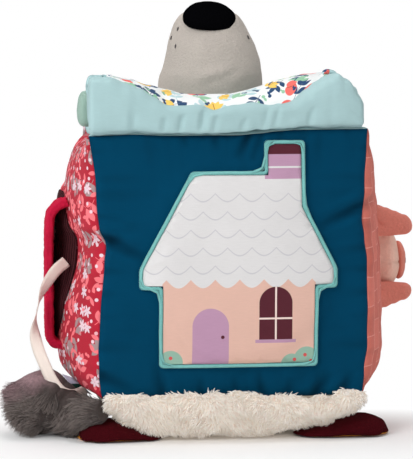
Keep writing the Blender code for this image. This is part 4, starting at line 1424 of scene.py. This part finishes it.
HEAD_TOP = 0.2265
MUZZLE_SHIFT = -0.0045
MUZZLE_MIDDLE = 0.0067
MUZZLE_BASE = 0.2268
MUZZLE_DRAPE = 0.0085
MUZZLE_DRAPE_REACH = 0.014
MUZZLE_UNDERSIDE = 0.2
MUZZLE_GREY = ink(192, 183, 175)

# The muzzle's side line: radius, shift to the right and height over its base
MUZZLE_PROFILE = [Vector(place) for place in (
    (0.0350, 0.0000, 0.0000), (0.0364, 0.0008, 0.0045), (0.0365, 0.0014, 0.0125),
    (0.0347, 0.0021, 0.0200), (0.0328, 0.0020, 0.0272), (0.0304, 0.0014, 0.0352),
    (0.0276, 0.0006, 0.0430), (0.0242, 0.0002, 0.0510), (0.0196, 0.0000, 0.0565),
    (0.0120, 0.0000, 0.0597), (0.0000, 0.0000, 0.0607),
)]

WHISKER_LENGTH, WHISKER_THICKNESS = 0.0034, 0.0011
NOSE_SHIFT = (-0.0013, -0.0004)

# Whisker stitches: degrees round the muzzle and height over its base
WHISKERS = ((208, 0.0458), (194, 0.0397), (211, 0.0338), (374, 0.0515), (330, 0.0401), (378, 0.0440))


def muzzle_point(turn, rise):
    """rise runs from 0 at the base to 1 at the tip."""
    radius, shift, height = along(MUZZLE_PROFILE, rise)[0]
    x, y = MUZZLE_SHIFT + shift + math.cos(turn) * radius, MUZZLE_MIDDLE + math.sin(turn) * radius
    return Vector((x, y, MUZZLE_BASE + height))


def muzzle_relief(rest, spot):
    """Soft lumps, the seam at the back, and the crease and the ridge that the filling makes in front."""
    if rest[1] < MUZZLE_UNDERSIDE - 0.01:
        return 0
    x, z = spot.x - MUZZLE_SHIFT, spot.z - MUZZLE_BASE
    total = 0.0011 * noise.noise(spot / 0.024) + 0.0003 * noise.noise(spot / 0.008)
    total -= 0.0011 * bell((rest[0] - 0.25) * 0.2, 0.0014)
    if spot.y < MUZZLE_MIDDLE:
        line = (z - 0.006) - (x + 0.012) * 0.34
        ends = eased((x + 0.016) / 0.01) * eased((0.022 - x) / 0.012)
        total -= 0.0006 * bell(line, 0.0024) * ends
        total += 0.0004 * bell(line - 0.005, 0.004) * ends
        ridge = x + 0.011 - z * 0.06
        total += 0.0010 * bell(ridge, 0.0045) * eased((0.046 - z) / 0.02)
    return total


def muzzle():
    """The stuffed muzzle, whose rim drapes over the pad, and its whisker stitches."""
    def place(s, t):
        turn = 2 * math.pi * s
        if t < MUZZLE_UNDERSIDE:
            low = muzzle_point(turn, 0)
            return Vector((MUZZLE_SHIFT, MUZZLE_MIDDLE, low.z)).lerp(low, t / MUZZLE_UNDERSIDE)
        return muzzle_point(turn, (t - MUZZLE_UNDERSIDE) / (1 - MUZZLE_UNDERSIDE))

    piece = skin("muzzle_velour", place, around=120, steps=100)
    for vertex in piece.data.vertices:
        hit, _, _, _ = PAD_SKIN.ray_cast(Vector((vertex.co.x, vertex.co.y, 1)), Vector((0, 0, -1)))
        under = hit.z if hit else MUZZLE_BASE - MUZZLE_DRAPE
        share = eased(1 - (vertex.co.z - MUZZLE_BASE) / MUZZLE_DRAPE_REACH)
        vertex.co.z -= share * min(MUZZLE_DRAPE, max(0, MUZZLE_BASE - under + 0.0008))
    piece.data.update()
    inflated(piece, pressure=2.5, cap=0.0010)
    pushed(piece, muzzle_relief)
    grey = velour("grey_velour", MUZZLE_GREY, patch=0.08, sheen=0.3)
    shown(piece, "block", ["muzzle"], "grey_velour", grey)
    spots = []
    for degrees, height in WHISKERS:
        turn = math.radians(degrees)
        found = solved(height + MUZZLE_BASE, lambda share: muzzle_point(turn, (share + 1) / 2).z)
        rise = (found + 1) / 2
        here = muzzle_point(turn, rise)
        up = (muzzle_point(turn, rise + 0.02) - here).normalized()
        out = (here - Vector((MUZZLE_SHIFT, MUZZLE_MIDDLE, here.z))).normalized()
        spots.append((here + out * 0.0003, up, out))
    dark = thread("dark_thread", ink(84, 80, 80))
    stitches("whisker_stitches", spots, WHISKER_LENGTH, WHISKER_THICKNESS, dark)


def nose():
    piece = from_node("nose_velour", "nose", levels=2)
    shifted(piece, *NOSE_SHIFT)
    pushed(piece, rumpled(size=0.010, height=0.0004))
    black = velour("black_velour", ink(6, 6, 8), sheen=0.0, patch=0.3, gloss=0.0)
    shown(piece, "block", ["nose"], "black_velour", black)


def head_pad():
    """Makes the pad, and returns its skin, which the muzzle drapes over."""
    pad = from_node("head_velour", "head_pad", levels=1)

    def relief(_, place):
        rim = eased((HEAD_TOP - place.z) / 0.010)
        return 0.0009 * noise.noise(place / 0.022) + 0.0006 * rim * noise.noise(place / 0.007)

    pushed(pad, relief)
    tree = BVHTree.FromObject(pad, bpy.context.evaluated_depsgraph_get())
    grey = velour("head_velour", MUZZLE_GREY, patch=0.12, sheen=0.3)
    shown(pad, "block", ["head_pad"], "grey_velour", grey)
    return tree


# The feet
FOOT_TOP = 0.0141
FOOT_WRAP = 1.17
FOOT_LOWEST = 0.0009
FOOT_SHIFT = {"left": 0.0022, "right": 0.0056}
FOOT_SHARE = {"left": 0.86, "right": 1.0}
SOLE_WIDE_SHARE, SOLE_DEEP_SHARE = 0.97, 0.84
SOLE_OUT, SOLE_BACK = 0.0022, 0.0030


def feet():
    """The two feet, pressed flat by the block, and the sole that shows under each."""
    upper = velour("burgundy_velour", ink(66, 10, 17), sheen=0.08, patch=0.25, gloss=0.04)
    under = velour("orange_velour", ink(222, 146, 62), sheen=0.2)
    for side, sign in (("left", -1), ("right", 1)):
        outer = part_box(side + "_foot")[0 if side == "left" else 1].x
        foot = from_node(side + "_foot_velour", side + "_foot", levels=2)
        for vertex in foot.data.vertices:
            vertex.co.z = FOOT_TOP - (FOOT_TOP - vertex.co.z) * FOOT_WRAP
            vertex.co.x = outer + (vertex.co.x - outer) * FOOT_SHARE[side] + FOOT_SHIFT[side]
        pushed(foot, rumpled(size=0.012, height=0.0007, seed=3.0))
        kept_above(foot, FOOT_LOWEST)
        shown(foot, "block", [side + "_foot"], "burgundy_velour", upper)
        sole = from_node(side + "_sole_velour", side + "_sole", levels=1)
        low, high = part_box(side + "_sole")
        middle = (low + high) / 2
        for vertex in sole.data.vertices:
            inner = middle.x + (vertex.co.x - middle.x) * SOLE_WIDE_SHARE
            vertex.co.x = outer + (inner - outer) * FOOT_SHARE[side] + sign * SOLE_OUT + FOOT_SHIFT[side]
            vertex.co.y = middle.y + (vertex.co.y - middle.y) * SOLE_DEEP_SHARE + SOLE_BACK
        shown(sole, "block", [side + "_sole"], "orange_velour", under)


# The loop, the ribbed patch behind it and the tag
LOOP_ROUTE = [Vector(place) for place in (
    (-0.1055, 0, 0.1550), (-0.1100, 0, 0.1535), (-0.1150, 0, 0.1495), (-0.1176, 0, 0.1430),
    (-0.1184, 0, 0.1280), (-0.1186, 0, 0.1080), (-0.1186, 0, 0.0860), (-0.1186, 0, 0.0700),
    (-0.1180, 0, 0.0622), (-0.1152, 0, 0.0586), (-0.1102, 0, 0.0568), (-0.1052, 0, 0.0548),
)]
LOOP_MIDDLE = -0.025
LOOP_WIDTH = 0.034
LOOP_THICKNESS = 0.0062
LOOP_END = 0.04
RIB_PITCH = 0.0026
PATCH_STITCH = 0.0046
PATCH_STITCH_LINE = -0.0170
PATCH_STITCH_OUT = 0.0024
PATCH_STITCH_THICKNESS = 0.0011


def side_loop():
    """A flat padded strap that stands off the side and is sewn down at both ends."""
    def place(s, t):
        share = max(0, min(1, (t - LOOP_END) / (1 - 2 * LOOP_END)))
        point, going = along(LOOP_ROUTE, share)
        out = Vector((going.z, 0, -going.x))
        keep = rounded_end(min(1, min(t, 1 - t) / LOOP_END))
        turn = 2 * math.pi * s
        wide, thick = squared(math.cos(turn), math.sin(turn), 5)
        aside = Vector((0, wide * LOOP_WIDTH / 2 * keep, 0))
        return Vector((point.x, LOOP_MIDDLE, point.z)) + aside + out * (thick * LOOP_THICKNESS / 2 * keep)

    strap = skin("loop_velour", place, around=72, steps=150)
    pushed(strap, rumpled(size=0.0055, height=0.0007, seed=1.0))
    crimson = velour("crimson_velour", ink(196, 28, 64), sheen=0.4, patch=0.2)
    shown(strap, "block", ["side_loop"], "crimson_velour", crimson)


def ribbed(name, colour):
    """Velour with upright ribs, whose colour is lighter on their crests and darker in their grooves, as
    painted light and shade.
    """
    shade = Shade(name)
    place = shade.body_place()
    _, y, z = shade.split(place)
    wave = shade.sum("SINE", (y + shade.cloud(place, 0.02) * 0.0015) * (2 * math.pi / RIB_PITCH))
    grain = shade.cloud(place, 0.0005, 2.0)
    wine = ink(170, 80, 90)
    # Painted light and shade: the colour follows the ribs' wave, lighter on the crests and darker in the
    # grooves.
    level = 1.0 + wave * 0.38 + grain * 0.5 + shade.cloud(place, 0.02) * 0.3
    return shade.finish(
        shade.tint(colour, level), 0.95, wave * 0.5 + grain, depth=0.0009, sheen=0.25, sheen_tint=wine,
    )


def side_patch():
    """The ribbed patch in the hollow behind the loop, with a row of stitches down it."""
    low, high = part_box("side_patch")
    middle, half = (low.z + high.z) / 2, (high.z - low.z) / 2
    patch = from_node("ribbed_patch", "side_patch", levels=2)
    for vertex in patch.data.vertices:
        reach = min(1, abs(vertex.co.z - middle) / half)
        lift = vertex.co.x - on_side(-1, vertex.co.y, vertex.co.z).x
        vertex.co.y += (high.y - vertex.co.y) * 0.55 * reach**3
        swell = 0.0008 * eased((vertex.co.y - low.y) / (high.y - low.y))
        vertex.co.x = lying_at(0, -1, vertex.co) + lift * 0.85 - swell
    patch.data.update()
    shown(patch, "block", ["side_patch"], "dark_rib", ribbed("dark_rib", ink(42, 8, 14)))
    spots = []
    for step in range(int(half * 1.7 / PATCH_STITCH)):
        place = Vector((0, PATCH_STITCH_LINE, middle - half * 0.85 + step * PATCH_STITCH))
        place.x = lying_at(0, -1, place) - PATCH_STITCH_OUT
        spots.append((place, Vector((0, 0, 1)), Vector((-1, 0, 0))))
    wine = thread("wine_thread", ink(118, 48, 56))
    stitches("patch_stitches", spots, PATCH_STITCH * 0.6, PATCH_STITCH_THICKNESS, wine)


# The pig
PIG_HEIGHT = 0.1085
PIG_SAG = 0.0030
PIG_LENGTH = 1.58
PIG_BURIED = 0.0085
PIG_FULLER = 0.32
SNOUT_PLACE = Vector((0.1312, 0.0040, 0.1086))
SNOUT_RADIUS = 0.0136
SNOUT_OUT = 0.0050
NOSTRIL_LENGTH, NOSTRIL_THICKNESS = 0.0018, 0.0010
EAR_ROOT, EAR_TIP = 0.1050, 0.1372
EAR_MIDDLE = -0.0165
EAR_THICK = 0.0066
EAR_BOW = 0.0012
EARS = {
    "pig_ear_upper": {
        "low": ((0, 0.1275), (0.5, 0.1278), (1, 0.1292)),
        "high": ((0, 0.1514), (0.2, 0.1498), (0.4, 0.1477), (0.6, 0.1454), (0.8, 0.1430), (1, 0.1408)),
        "crease": 0.1395, "way": -1,
    },
    "pig_ear_lower": {
        "low": ((0, 0.0738), (0.2, 0.0752), (0.4, 0.0772), (0.6, 0.0796), (0.8, 0.0820), (1, 0.0842)),
        "high": ((0, 0.0950), (0.5, 0.0956), (1, 0.0940)),
        "crease": 0.0855, "way": 1,
    },
}


def ear_point(ear, s, t):
    """A leaf-shaped ear: t runs from its root to its tip, and s round its section."""
    low, high = read_line(ear["low"], t), read_line(ear["high"], t)
    keep = rounded_end(min(1, t / 0.10) if t < 0.5 else min(1, (1 - t) / 0.16))
    turn = 2 * math.pi * s
    upward, across = squared(math.cos(turn), math.sin(turn), 2.3)
    bow = EAR_BOW * math.sin(math.pi * t)
    return Vector((
        between(EAR_ROOT, EAR_TIP, t), EAR_MIDDLE + bow + across * EAR_THICK / 2 * keep * (1 - 0.35 * t),
        (low + high) / 2 + upward * (high - low) / 2 * keep,
    ))


def snout_point(s, t):
    """A flat disc with softly squared edges."""
    x, y, z = ball(s, t)
    y, z = squared(y, z, 2.3)
    out = x * (SNOUT_OUT if x > 0 else SNOUT_OUT * 0.6)
    return Vector((SNOUT_PLACE.x + out, SNOUT_PLACE.y + y * SNOUT_RADIUS, SNOUT_PLACE.z + z * SNOUT_RADIUS))


def pig():
    """The pig on the right side: a head that is fuller towards its snout, and two ears that flop."""
    pink = velour("pink_velour", ink(250, 200, 182), sheen=0.3, patch=0.08)
    coral = velour("coral_velour", ink(232, 142, 126), sheen=0.25, patch=0.10)
    root, front = (corner.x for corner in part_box("pig_head"))
    head = from_node("pig_head_velour", "pig_head", levels=2)
    for vertex in head.data.vertices:
        share = (vertex.co.x - root) / (front - root)
        fuller = 1 + PIG_FULLER * eased((share - 0.3) / 0.5)
        vertex.co.y = SNOUT_PLACE.y + (vertex.co.y - SNOUT_PLACE.y) * fuller
        vertex.co.z = PIG_HEIGHT + PIG_SAG + (vertex.co.z - PIG_HEIGHT - PIG_SAG) * fuller
        vertex.co.x = root - PIG_BURIED + (vertex.co.x - root) * PIG_LENGTH
        vertex.co.z -= PIG_SAG

    def seam(_, place):
        return 0.0005 * noise.noise(place / 0.010) - 0.0010 * bell(place.z - PIG_HEIGHT, 0.0008)

    pushed(head, seam)
    shown(head, "block", ["pig_head"], "pink_velour", pink)

    snout = skin("pig_snout_velour", snout_point, around=64, steps=40)
    pushed(snout, rumpled(size=0.007, height=0.0003))
    shown(snout, "block", ["pig_snout"], "coral_velour", coral)
    spots = []
    for aside in (-1, 1):
        for step in (-1, 0, 1):
            place = SNOUT_PLACE + Vector((SNOUT_OUT * 0.93, aside * 0.0042, step * 0.0012))
            spots.append((place, Vector((0, 0, 1)), Vector((1, 0, 0))))
    brown = thread("brown_thread", ink(120, 54, 50))
    stitches("nostril_stitches", spots, NOSTRIL_LENGTH, NOSTRIL_THICKNESS, brown)

    for name, ear in EARS.items():
        piece = skin(name + "_velour", lambda s, t, ear=ear: ear_point(ear, s, t), 48, 60)

        def fold(rest, place, ear=ear):
            reach = rest[1]
            level = (place.z - ear["crease"]) - reach * 0.012 * ear["way"]
            dent = bell(level, 0.0016) * eased((0.5 - reach) / 0.3) * eased(reach / 0.08)
            return 0.0005 * noise.noise(place / 0.008) - 0.0014 * dent

        pushed(piece, fold)
        shown(piece, name, [name], "coral_velour", coral)


# The plush and the tail

PLUSH_LEFT_GAP = 0.0085
PLUSH_TOP = (
    (-0.092, 0), (0.000, 0.0005), (0.016, 0), (0.032, -0.0028), (0.055, -0.0034), (0.066, -0.0014),
    (0.074, 0.0012), (0.092, 0.0010),
)
PLUSH_SAG = (
    (-0.088, 0.0060), (-0.067, 0.0076), (-0.050, 0.0070), (-0.033, 0.0044), (-0.016, 0.0038),
    (0.018, 0.0033), (0.036, 0.0016), (0.053, 0.0004), (0.070, 0.0021), (0.086, 0.0044),
)
PLUSH_LOWEST = 0.0030

# Pile: strands to the square metre, their size, how far they lie down and stray, the clumps to the metre
PLUSH_PILE = {
    "density": 860000, "length": 0.0037, "width": 0.0014, "lean": 0.46, "wander": 2.2, "clump": 1 / 0.0036,
    "bend": 0.8, "seed": 3,
}
TAIL_PILE = {
    "density": 1100000, "length": 0.0095, "width": 0.0007, "lean": 0.78, "wander": 0.95, "clump": 1 / 0.0065,
    "bend": 0.22, "seed": 7,
}

TAIL_ROUTE = [Vector(place) for place in (
    (-0.1260, -0.0600, 0.0235), (-0.1200, -0.0610, 0.0225), (-0.1120, -0.0640, 0.0195),
    (-0.1040, -0.0700, 0.0175), (-0.0965, -0.0790, 0.0184), (-0.0900, -0.0870, 0.0206),
    (-0.0850, -0.0915, 0.0216),
)]
TAIL_RADII = (
    (0, 0.0190), (0.18, 0.0196), (0.33, 0.0160), (0.47, 0.0124), (0.70, 0.0090), (0.85, 0.0074),
    (1, 0.0066),
)
TAIL_FLOOR = 0.0022
TAIL_TIP, TAIL_NECK = 0.12, 0.96


def plush():
    """The curly strip under the front edge."""
    base = from_node("plush_pile", "plush_strip", levels=0, voxel=0.0020)
    low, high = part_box("plush_strip")
    span = high.x - low.x
    for vertex in base.data.vertices:
        upper = eased((vertex.co.z - low.z - 0.006) / 0.014)
        lower = eased((low.z + 0.018 - vertex.co.z) / 0.014)
        vertex.co.z += read_line(PLUSH_TOP, vertex.co.x) * upper - read_line(PLUSH_SAG, vertex.co.x) * lower
        vertex.co.z = max(vertex.co.z, PLUSH_LOWEST)
        vertex.co.x += PLUSH_LEFT_GAP * (high.x - vertex.co.x) / span

    def lumps(_, place):
        return -0.0012 + 0.0030 * noise.noise(place / 0.0085) + 0.0016 * noise.noise(place / 0.0040)

    def flow(place):
        return Vector((0.8 * math.sin(place.x * 130 + place.z * 90), -0.35, -0.7)).normalized()

    pushed(base, lumps)
    # Painted light and shade: the fleece glows a little in its tip colour, and its roots are a little darker
    # than its tips, as painted shade among the curls.
    fleece = pile("cream_plush", ink(248, 234, 220), ink(255, 246, 234), streaks=0.15, soft=0.8, lift=0.10)
    furred(base, flow, fleece, **PLUSH_PILE)
    shown(base, "block", ["plush_strip"], "cream_plush")


def tail_point(s, t):
    """t runs from the round end to the neck, and s round the section."""
    share = max(0, min(1, (t - TAIL_TIP) / (TAIL_NECK - TAIL_TIP)))
    point, going = along(TAIL_ROUTE, share)
    radius = read_line(TAIL_RADII, share)
    aside = going.cross(Vector((0, 0, 1))).normalized()
    upward = aside.cross(going).normalized()
    if t < TAIL_TIP:
        back = (1 - t / TAIL_TIP) * math.pi / 2
        point = point - going * radius * math.sin(back) * 0.9
        radius *= math.cos(back)
    elif t > TAIL_NECK:
        radius *= math.cos((t - TAIL_NECK) / (1 - TAIL_NECK) * math.pi / 2)
    turn = 2 * math.pi * s
    found = point + aside * (radius * math.cos(turn)) + upward * (radius * math.sin(turn))
    found.z = max(found.z, TAIL_FLOOR)
    return found


def tail():
    """A furry sausage on the floor, whose narrow neck runs round to the front corner."""
    base = skin("tail_pile", tail_point, around=72, steps=90)
    pushed(base, lambda _, spot: 0.0026 * noise.noise(spot / 0.013))
    kept_above(base, TAIL_FLOOR)

    def flow(spot):
        nearest = min(range(len(TAIL_ROUTE) - 1), key=lambda index: (TAIL_ROUTE[index] - spot).length)
        away = (TAIL_ROUTE[nearest] - TAIL_ROUTE[nearest + 1]).normalized()
        hanging = eased((-0.090 - spot.x) / 0.022)
        swirl = Vector((0, 0, 0.7 * math.sin(spot.x / 0.009 + spot.z / 0.006)))
        return (away * (1.4 - 0.6 * hanging) + (swirl + Vector((0.0, -0.1, -0.75))) * hanging).normalized()

    fur = pile("grey_plush", ink(70, 62, 60), ink(142, 131, 126), ink(156, 127, 132), 0.8)
    furred(base, flow, fur, **TAIL_PILE)
    base.data.materials.clear()
    base.data.materials.append(fur)
    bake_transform(base)
    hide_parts("tail")


# The picture on the front

PICTURE_CENTRE = 0.0045
PICTURE_WHITE = ink(225, 223, 223)
EAVES_LINE = 0.0560
SCALLOP_WIDTH = 0.0160
PICTURE_BOTTOM = 0.052
PICTURE_WALL_WIDTH = 0.100
PICTURE_WALL_HEIGHT = 0.062
PICTURE_EAVES_WIDTH = 0.126
PICTURE_EAVES_DROP = 0.010
PICTURE_RIDGE_WIDTH = 0.060
PICTURE_HEIGHT = 0.124
CHIMNEY_WIDTH = 0.022
CHIMNEY_RISE = 0.020
CHIMNEY_OFFSET = 0.019
PICTURE_LIFT = 0.0004
BORDER_OUT = 0.0014
BORDER_ROUNDING = 0.0014
SATIN_PITCH = 0.00050
SATIN_WIDTH = 0.0030
SATIN_LIFT = 0.0022

# The print's last layers, from below: colour, boxes and discs. A ledge, bushes, berries and the chimney
PICTURE_LAYERS = (
    (ink(192, 150, 178), [((0.0105, 0.0138), (0.0375, 0.0160))], []),
    (ink(150, 186, 168), [], [
        ((0.0450, 0.0020), 0.0085), ((0.0350, -0.0010), 0.0070), ((-0.0450, 0.0010), 0.0080),
    ]),
    (ink(214, 88, 86), [], [
        ((0.0440, 0.0050), 0.0012), ((0.0480, 0.0010), 0.0012), ((0.0370, 0.0020), 0.0012),
        ((-0.0450, 0.0040), 0.0012),
    ]),
    (ink(192, 150, 178), [((0.0165, 0.1215), (0.0435, 0.16))], []),
    (ink(88, 34, 46), [((0.0165, 0.1375), (0.0435, 0.16))], []),
    (ink(225, 223, 223), [((0.0165, 0.1285), (0.0435, 0.1297))], []),
)


def shapes(shade, x, z, bars=(), dots=()):
    """One mask of boxes, each from corner to corner, and of discs, each a middle and a radius."""
    masks = [bar(shade, x, z, low, high) for low, high in bars]
    masks += [dot(shade, x, z, middle, radius) for middle, radius in dots]
    return either(shade, *masks)


def picture_print(shade, x, z, white):
    """A cottage: scalloped white roof, peach wall, lilac door, a window, a chimney and two bushes."""
    peach, lilac, wine = ink(229, 187, 171), ink(192, 150, 178), ink(88, 34, 46)
    wall = shapes(shade, x, z, [((-0.0505, -0.01), (0.0505, EAVES_LINE))])
    made = shade.mix(white, peach, wall)
    waves = abs(shade.sum("SINE", x * (math.pi / SCALLOP_WIDTH)))
    made = shade.mix(made, white, shade.inside(z - EAVES_LINE + waves * 0.0055, EDGE_SOFT))
    for row in range(5):
        level = 0.0650 + row * 0.0118
        scallop = abs(shade.sum("SINE", (x / SCALLOP_WIDTH + 0.5 * (row % 2)) * math.pi))
        line = shade.inside(0.00045 - abs(z - level + scallop * 0.0052), EDGE_SOFT)
        made = shade.mix(made, ink(206, 204, 208), line * shade.inside(z - 0.0575, EDGE_SOFT))
    door = shapes(shade, x, z, [((-0.0310, -0.01), (-0.0070, 0.0250))], [((-0.0190, 0.0250), 0.0120)])
    made = shade.mix(made, lilac, door)
    made = shade.mix(made, wine, shapes(shade, x, z, (), [((-0.0110, 0.0180), 0.0012)]))
    pane = shapes(shade, x, z, [((0.0130, 0.0160), (0.0350, 0.0400))], [((0.0240, 0.0400), 0.0110)])
    made = shade.mix(made, wine, pane)
    glazing = ((0.0234, 0.0140), (0.0246, 0.0520)), ((0.0120, 0.0294), (0.0360, 0.0306))
    glazing = shapes(shade, x, z, glazing)
    made = shade.mix(made, ink(246, 222, 214), glazing * pane)
    for colour, bars, dots in PICTURE_LAYERS:
        made = shade.mix(made, colour, shapes(shade, x, z, bars, dots))
    return made


def picture_outline(margin):
    """The cottage's outline in X and Z: walls, a roof that overhangs them and a chimney."""
    wall, eaves, ridge = PICTURE_WALL_WIDTH / 2, PICTURE_EAVES_WIDTH / 2, PICTURE_RIDGE_WIDTH / 2
    left, right = CHIMNEY_OFFSET, CHIMNEY_OFFSET + CHIMNEY_WIDTH
    slope = (PICTURE_HEIGHT - PICTURE_WALL_HEIGHT) / (eaves - ridge)
    under = PICTURE_WALL_HEIGHT - PICTURE_EAVES_DROP
    corners = [
        (-wall, 0), (wall, 0), (wall, under), (eaves, under), (eaves, PICTURE_WALL_HEIGHT),
        (right, PICTURE_HEIGHT - slope * (right - ridge)), (right, PICTURE_HEIGHT + CHIMNEY_RISE),
        (left, PICTURE_HEIGHT + CHIMNEY_RISE), (left, PICTURE_HEIGHT), (-ridge, PICTURE_HEIGHT),
        (-eaves, PICTURE_WALL_HEIGHT), (-eaves, under), (-wall, under),
    ]
    made = []
    for index, corner in enumerate(corners):
        here = Vector(corner)
        back = (here - Vector(corners[index - 1])).normalized()
        onward = (Vector(corners[(index + 1) % len(corners)]) - here).normalized()
        both = Vector((back.y, -back.x)) + Vector((onward.y, -onward.x))
        out = both * (2 * margin / both.length_squared)
        made.append(here + out + Vector((PICTURE_CENTRE, PICTURE_BOTTOM)))
    return made


def rounded_line(corners, radius, pitch):
    """Evenly spaced places along a closed outline whose corners are rounded."""
    fine = []
    for index, corner in enumerate(corners):
        back, onward = corners[index - 1] - corner, corners[(index + 1) % len(corners)] - corner
        first = corner + back.normalized() * min(radius, back.length / 2)
        last = corner + onward.normalized() * min(radius, onward.length / 2)
        for step in range(13):
            t = step / 12
            fine.append(first * (1 - t) ** 2 + corner * (2 * t * (1 - t)) + last * t * t)
    fine.append(fine[0])
    places, left = [], 0.0
    for start, end in zip(fine, fine[1:]):
        reach = (end - start).length
        while left < reach:
            places.append(start.lerp(end, left / reach))
            left += pitch
        left -= reach
    return places


def laid_on_front(thing, lift):
    """Moves a piece of the front from the plain block's surface onto the cover."""
    for vertex in thing.data.vertices:
        plain = on_front(vertex.co.x, vertex.co.z).y
        vertex.co.y += lying_at(1, -1, vertex.co) - plain - lift
    thing.data.update()


def picture():
    """The printed cloth, laid on the cover."""
    cloth = from_node("picture_cloth", "picture", levels=0)
    cut = cloth.modifiers.new("Finer", "SUBSURF")
    cut.subdivision_type = "SIMPLE"
    cut.levels = cut.render_levels = 2
    baked(cloth)
    sheet = cloth.data.uv_layers.new(name="cloth")
    for loop in cloth.data.loops:
        place = cloth.data.vertices[loop.vertex_index].co
        sheet.data[loop.index].uv = (place.x - PICTURE_CENTRE, place.z - PICTURE_BOTTOM)
    laid_on_front(cloth, PICTURE_LIFT)
    material = plain_cotton("picture_cotton", PICTURE_WHITE, printed=picture_print, wash=0.05)
    shown(cloth, "block", ["picture"], "picture_cotton", material)


def picture_border():
    """Satin stitches over a cord along the picture's edge."""
    turquoise = thread("turquoise_thread", ink(120, 186, 182))
    cord = from_node("border_cord", "picture_border", levels=1)
    laid_on_front(cord, 0.0)
    shown(cord, "block", ["picture_border"], "turquoise_thread", turquoise)
    line = rounded_line(picture_outline(BORDER_OUT), BORDER_ROUNDING, SATIN_PITCH)
    spots = []
    for index, here in enumerate(line):
        going = line[(index + 1) % len(line)] - line[index - 1]
        across = Vector((going.y, 0, -going.x)).normalized()
        place = Vector((here.x, 0, here.y))
        place.y = lying_at(1, -1, place) - SATIN_LIFT
        spots.append((place, across, Vector((0, -1, 0))))
    stitches("border_stitches", spots, SATIN_WIDTH, SATIN_PITCH * 1.25, turquoise)


FOAM_SHARE = 0.95
TAG_SHIFT = (0.0055, -0.0100)
TAG_STRIPE, TAG_STRIPE_HALF = 0.0275, 0.0016


def foam_core():
    """The stuffing, drawn in a little so that it stays under the cover."""
    core = from_node("foam_stuffing", "foam_core", levels=0)
    middle = Vector((0, 0, MIDDLE))
    for vertex in core.data.vertices:
        vertex.co = middle + (vertex.co - middle) * FOAM_SHARE
    shown(core, "block", ["foam_core"], "foam", foam("foam", ink(226, 222, 208)))


def seam_tag():
    """A blank tape with one stripe."""
    tag = from_node("tag_tape", "seam_tag", levels=0)
    shifted(tag, *TAG_SHIFT)
    shade = Shade("lilac_tape")
    place = shade.body_place()
    _, _, z = shade.split(place)
    stripe = shade.inside(TAG_STRIPE_HALF - abs(z - TAG_STRIPE), 0.0002)
    colour = shade.mix(ink(206, 200, 222), ink(20, 62, 52), stripe)
    tape = shade.finish(colour, 0.6, shade.cloud(place, 0.0005), depth=0.0001, sheen=0.1)
    shown(tag, "block", ["seam_tag"], "lilac_tape", tape)


# The stage
FLOOR_COLOUR = (0.86, 0.86, 0.86, 1)
FLOOR_SIZE = 6
WORLD_LIGHT = 0.42
LAMP_AIM = Vector((0, 0, 0.11))
LAMPS = (
    ("key", (-0.72, -0.72, 0.72), 0.6, 7.2),
    ("fill", (1.0, -1.3, 0.7), 1.1, 3.6),
    ("top", (0.0, -0.1, 1.5), 0.9, 7.6),
)


def ground():
    """A pale floor that takes the object's shadow, and is plain white to the camera further off."""
    floor = Shade("floor")
    x, y, _ = floor.split(floor.body_place())
    aside = floor.sum("MAXIMUM", abs(x) - 0.10, 0.0)
    ahead = floor.sum("MAXIMUM", y * -1.0 - 0.08, floor.sum("MAXIMUM", (y + 0.06) * 1.9, 0.0))
    reach = floor.sum("SQRT", aside * aside + ahead * ahead)
    far = floor.inside(reach - 0.070, 0.11)
    rays = floor.node("ShaderNodeLightPath", {}, {})
    glow = floor.node("ShaderNodeEmission", {}, {"Color": WHITE, "Strength": 1.0})
    seen = far * Value(floor, rays.outputs["Is Camera Ray"])
    floor.feed(floor.principled.inputs["Base Color"], FLOOR_COLOUR)
    floor.feed(floor.principled.inputs["Roughness"], 0.9)
    values = {0: seen, 1: floor.principled.outputs[0], 2: glow.outputs[0]}
    both = floor.node("ShaderNodeMixShader", {}, values)
    floor.feed(floor.tree.nodes["Material Output"].inputs["Surface"], both.outputs[0])
    work = bmesh.new()
    bmesh.ops.create_grid(work, x_segments=1, y_segments=1, size=FLOOR_SIZE)
    plane = object_from("floor", work, False)
    plane.data.materials.append(floor.material)


def lighting():
    """A plain world that the camera sees as white, and three soft lamps."""
    scene.world = bpy.data.worlds.new("world")
    scene.world.use_nodes = True
    world = Nodes(scene.world.node_tree)
    rays = world.node("ShaderNodeLightPath", {}, {})
    values = {0: rays.outputs["Is Camera Ray"], 1: 1 - WORLD_LIGHT, 2: WORLD_LIGHT}
    strength = world.node("ShaderNodeMath", {"operation": "MULTIPLY_ADD"}, values)
    back = world.tree.nodes["Background"]
    world.feed(back.inputs["Strength"], strength.outputs[0])
    world.feed(back.inputs["Color"], WHITE)
    for name, place, size, power in LAMPS:
        lamp = bpy.data.lights.new(name, "AREA")
        lamp.shape = "DISK"
        lamp.size = size
        lamp.energy = power
        aimed(name, lamp, place, LAMP_AIM - Vector(place))


camera()
tie_ribbon()
COVER_SKIN = cover()
blanket_roll()
blanket_lining()
PAD_SKIN = head_pad()
muzzle()
nose()
picture()
picture_border()
plush()
feet()
side_loop()
side_patch()
seam_tag()
tail()
pig()
foam_core()
ground()
lighting()

scene.view_settings.view_transform = "Standard"
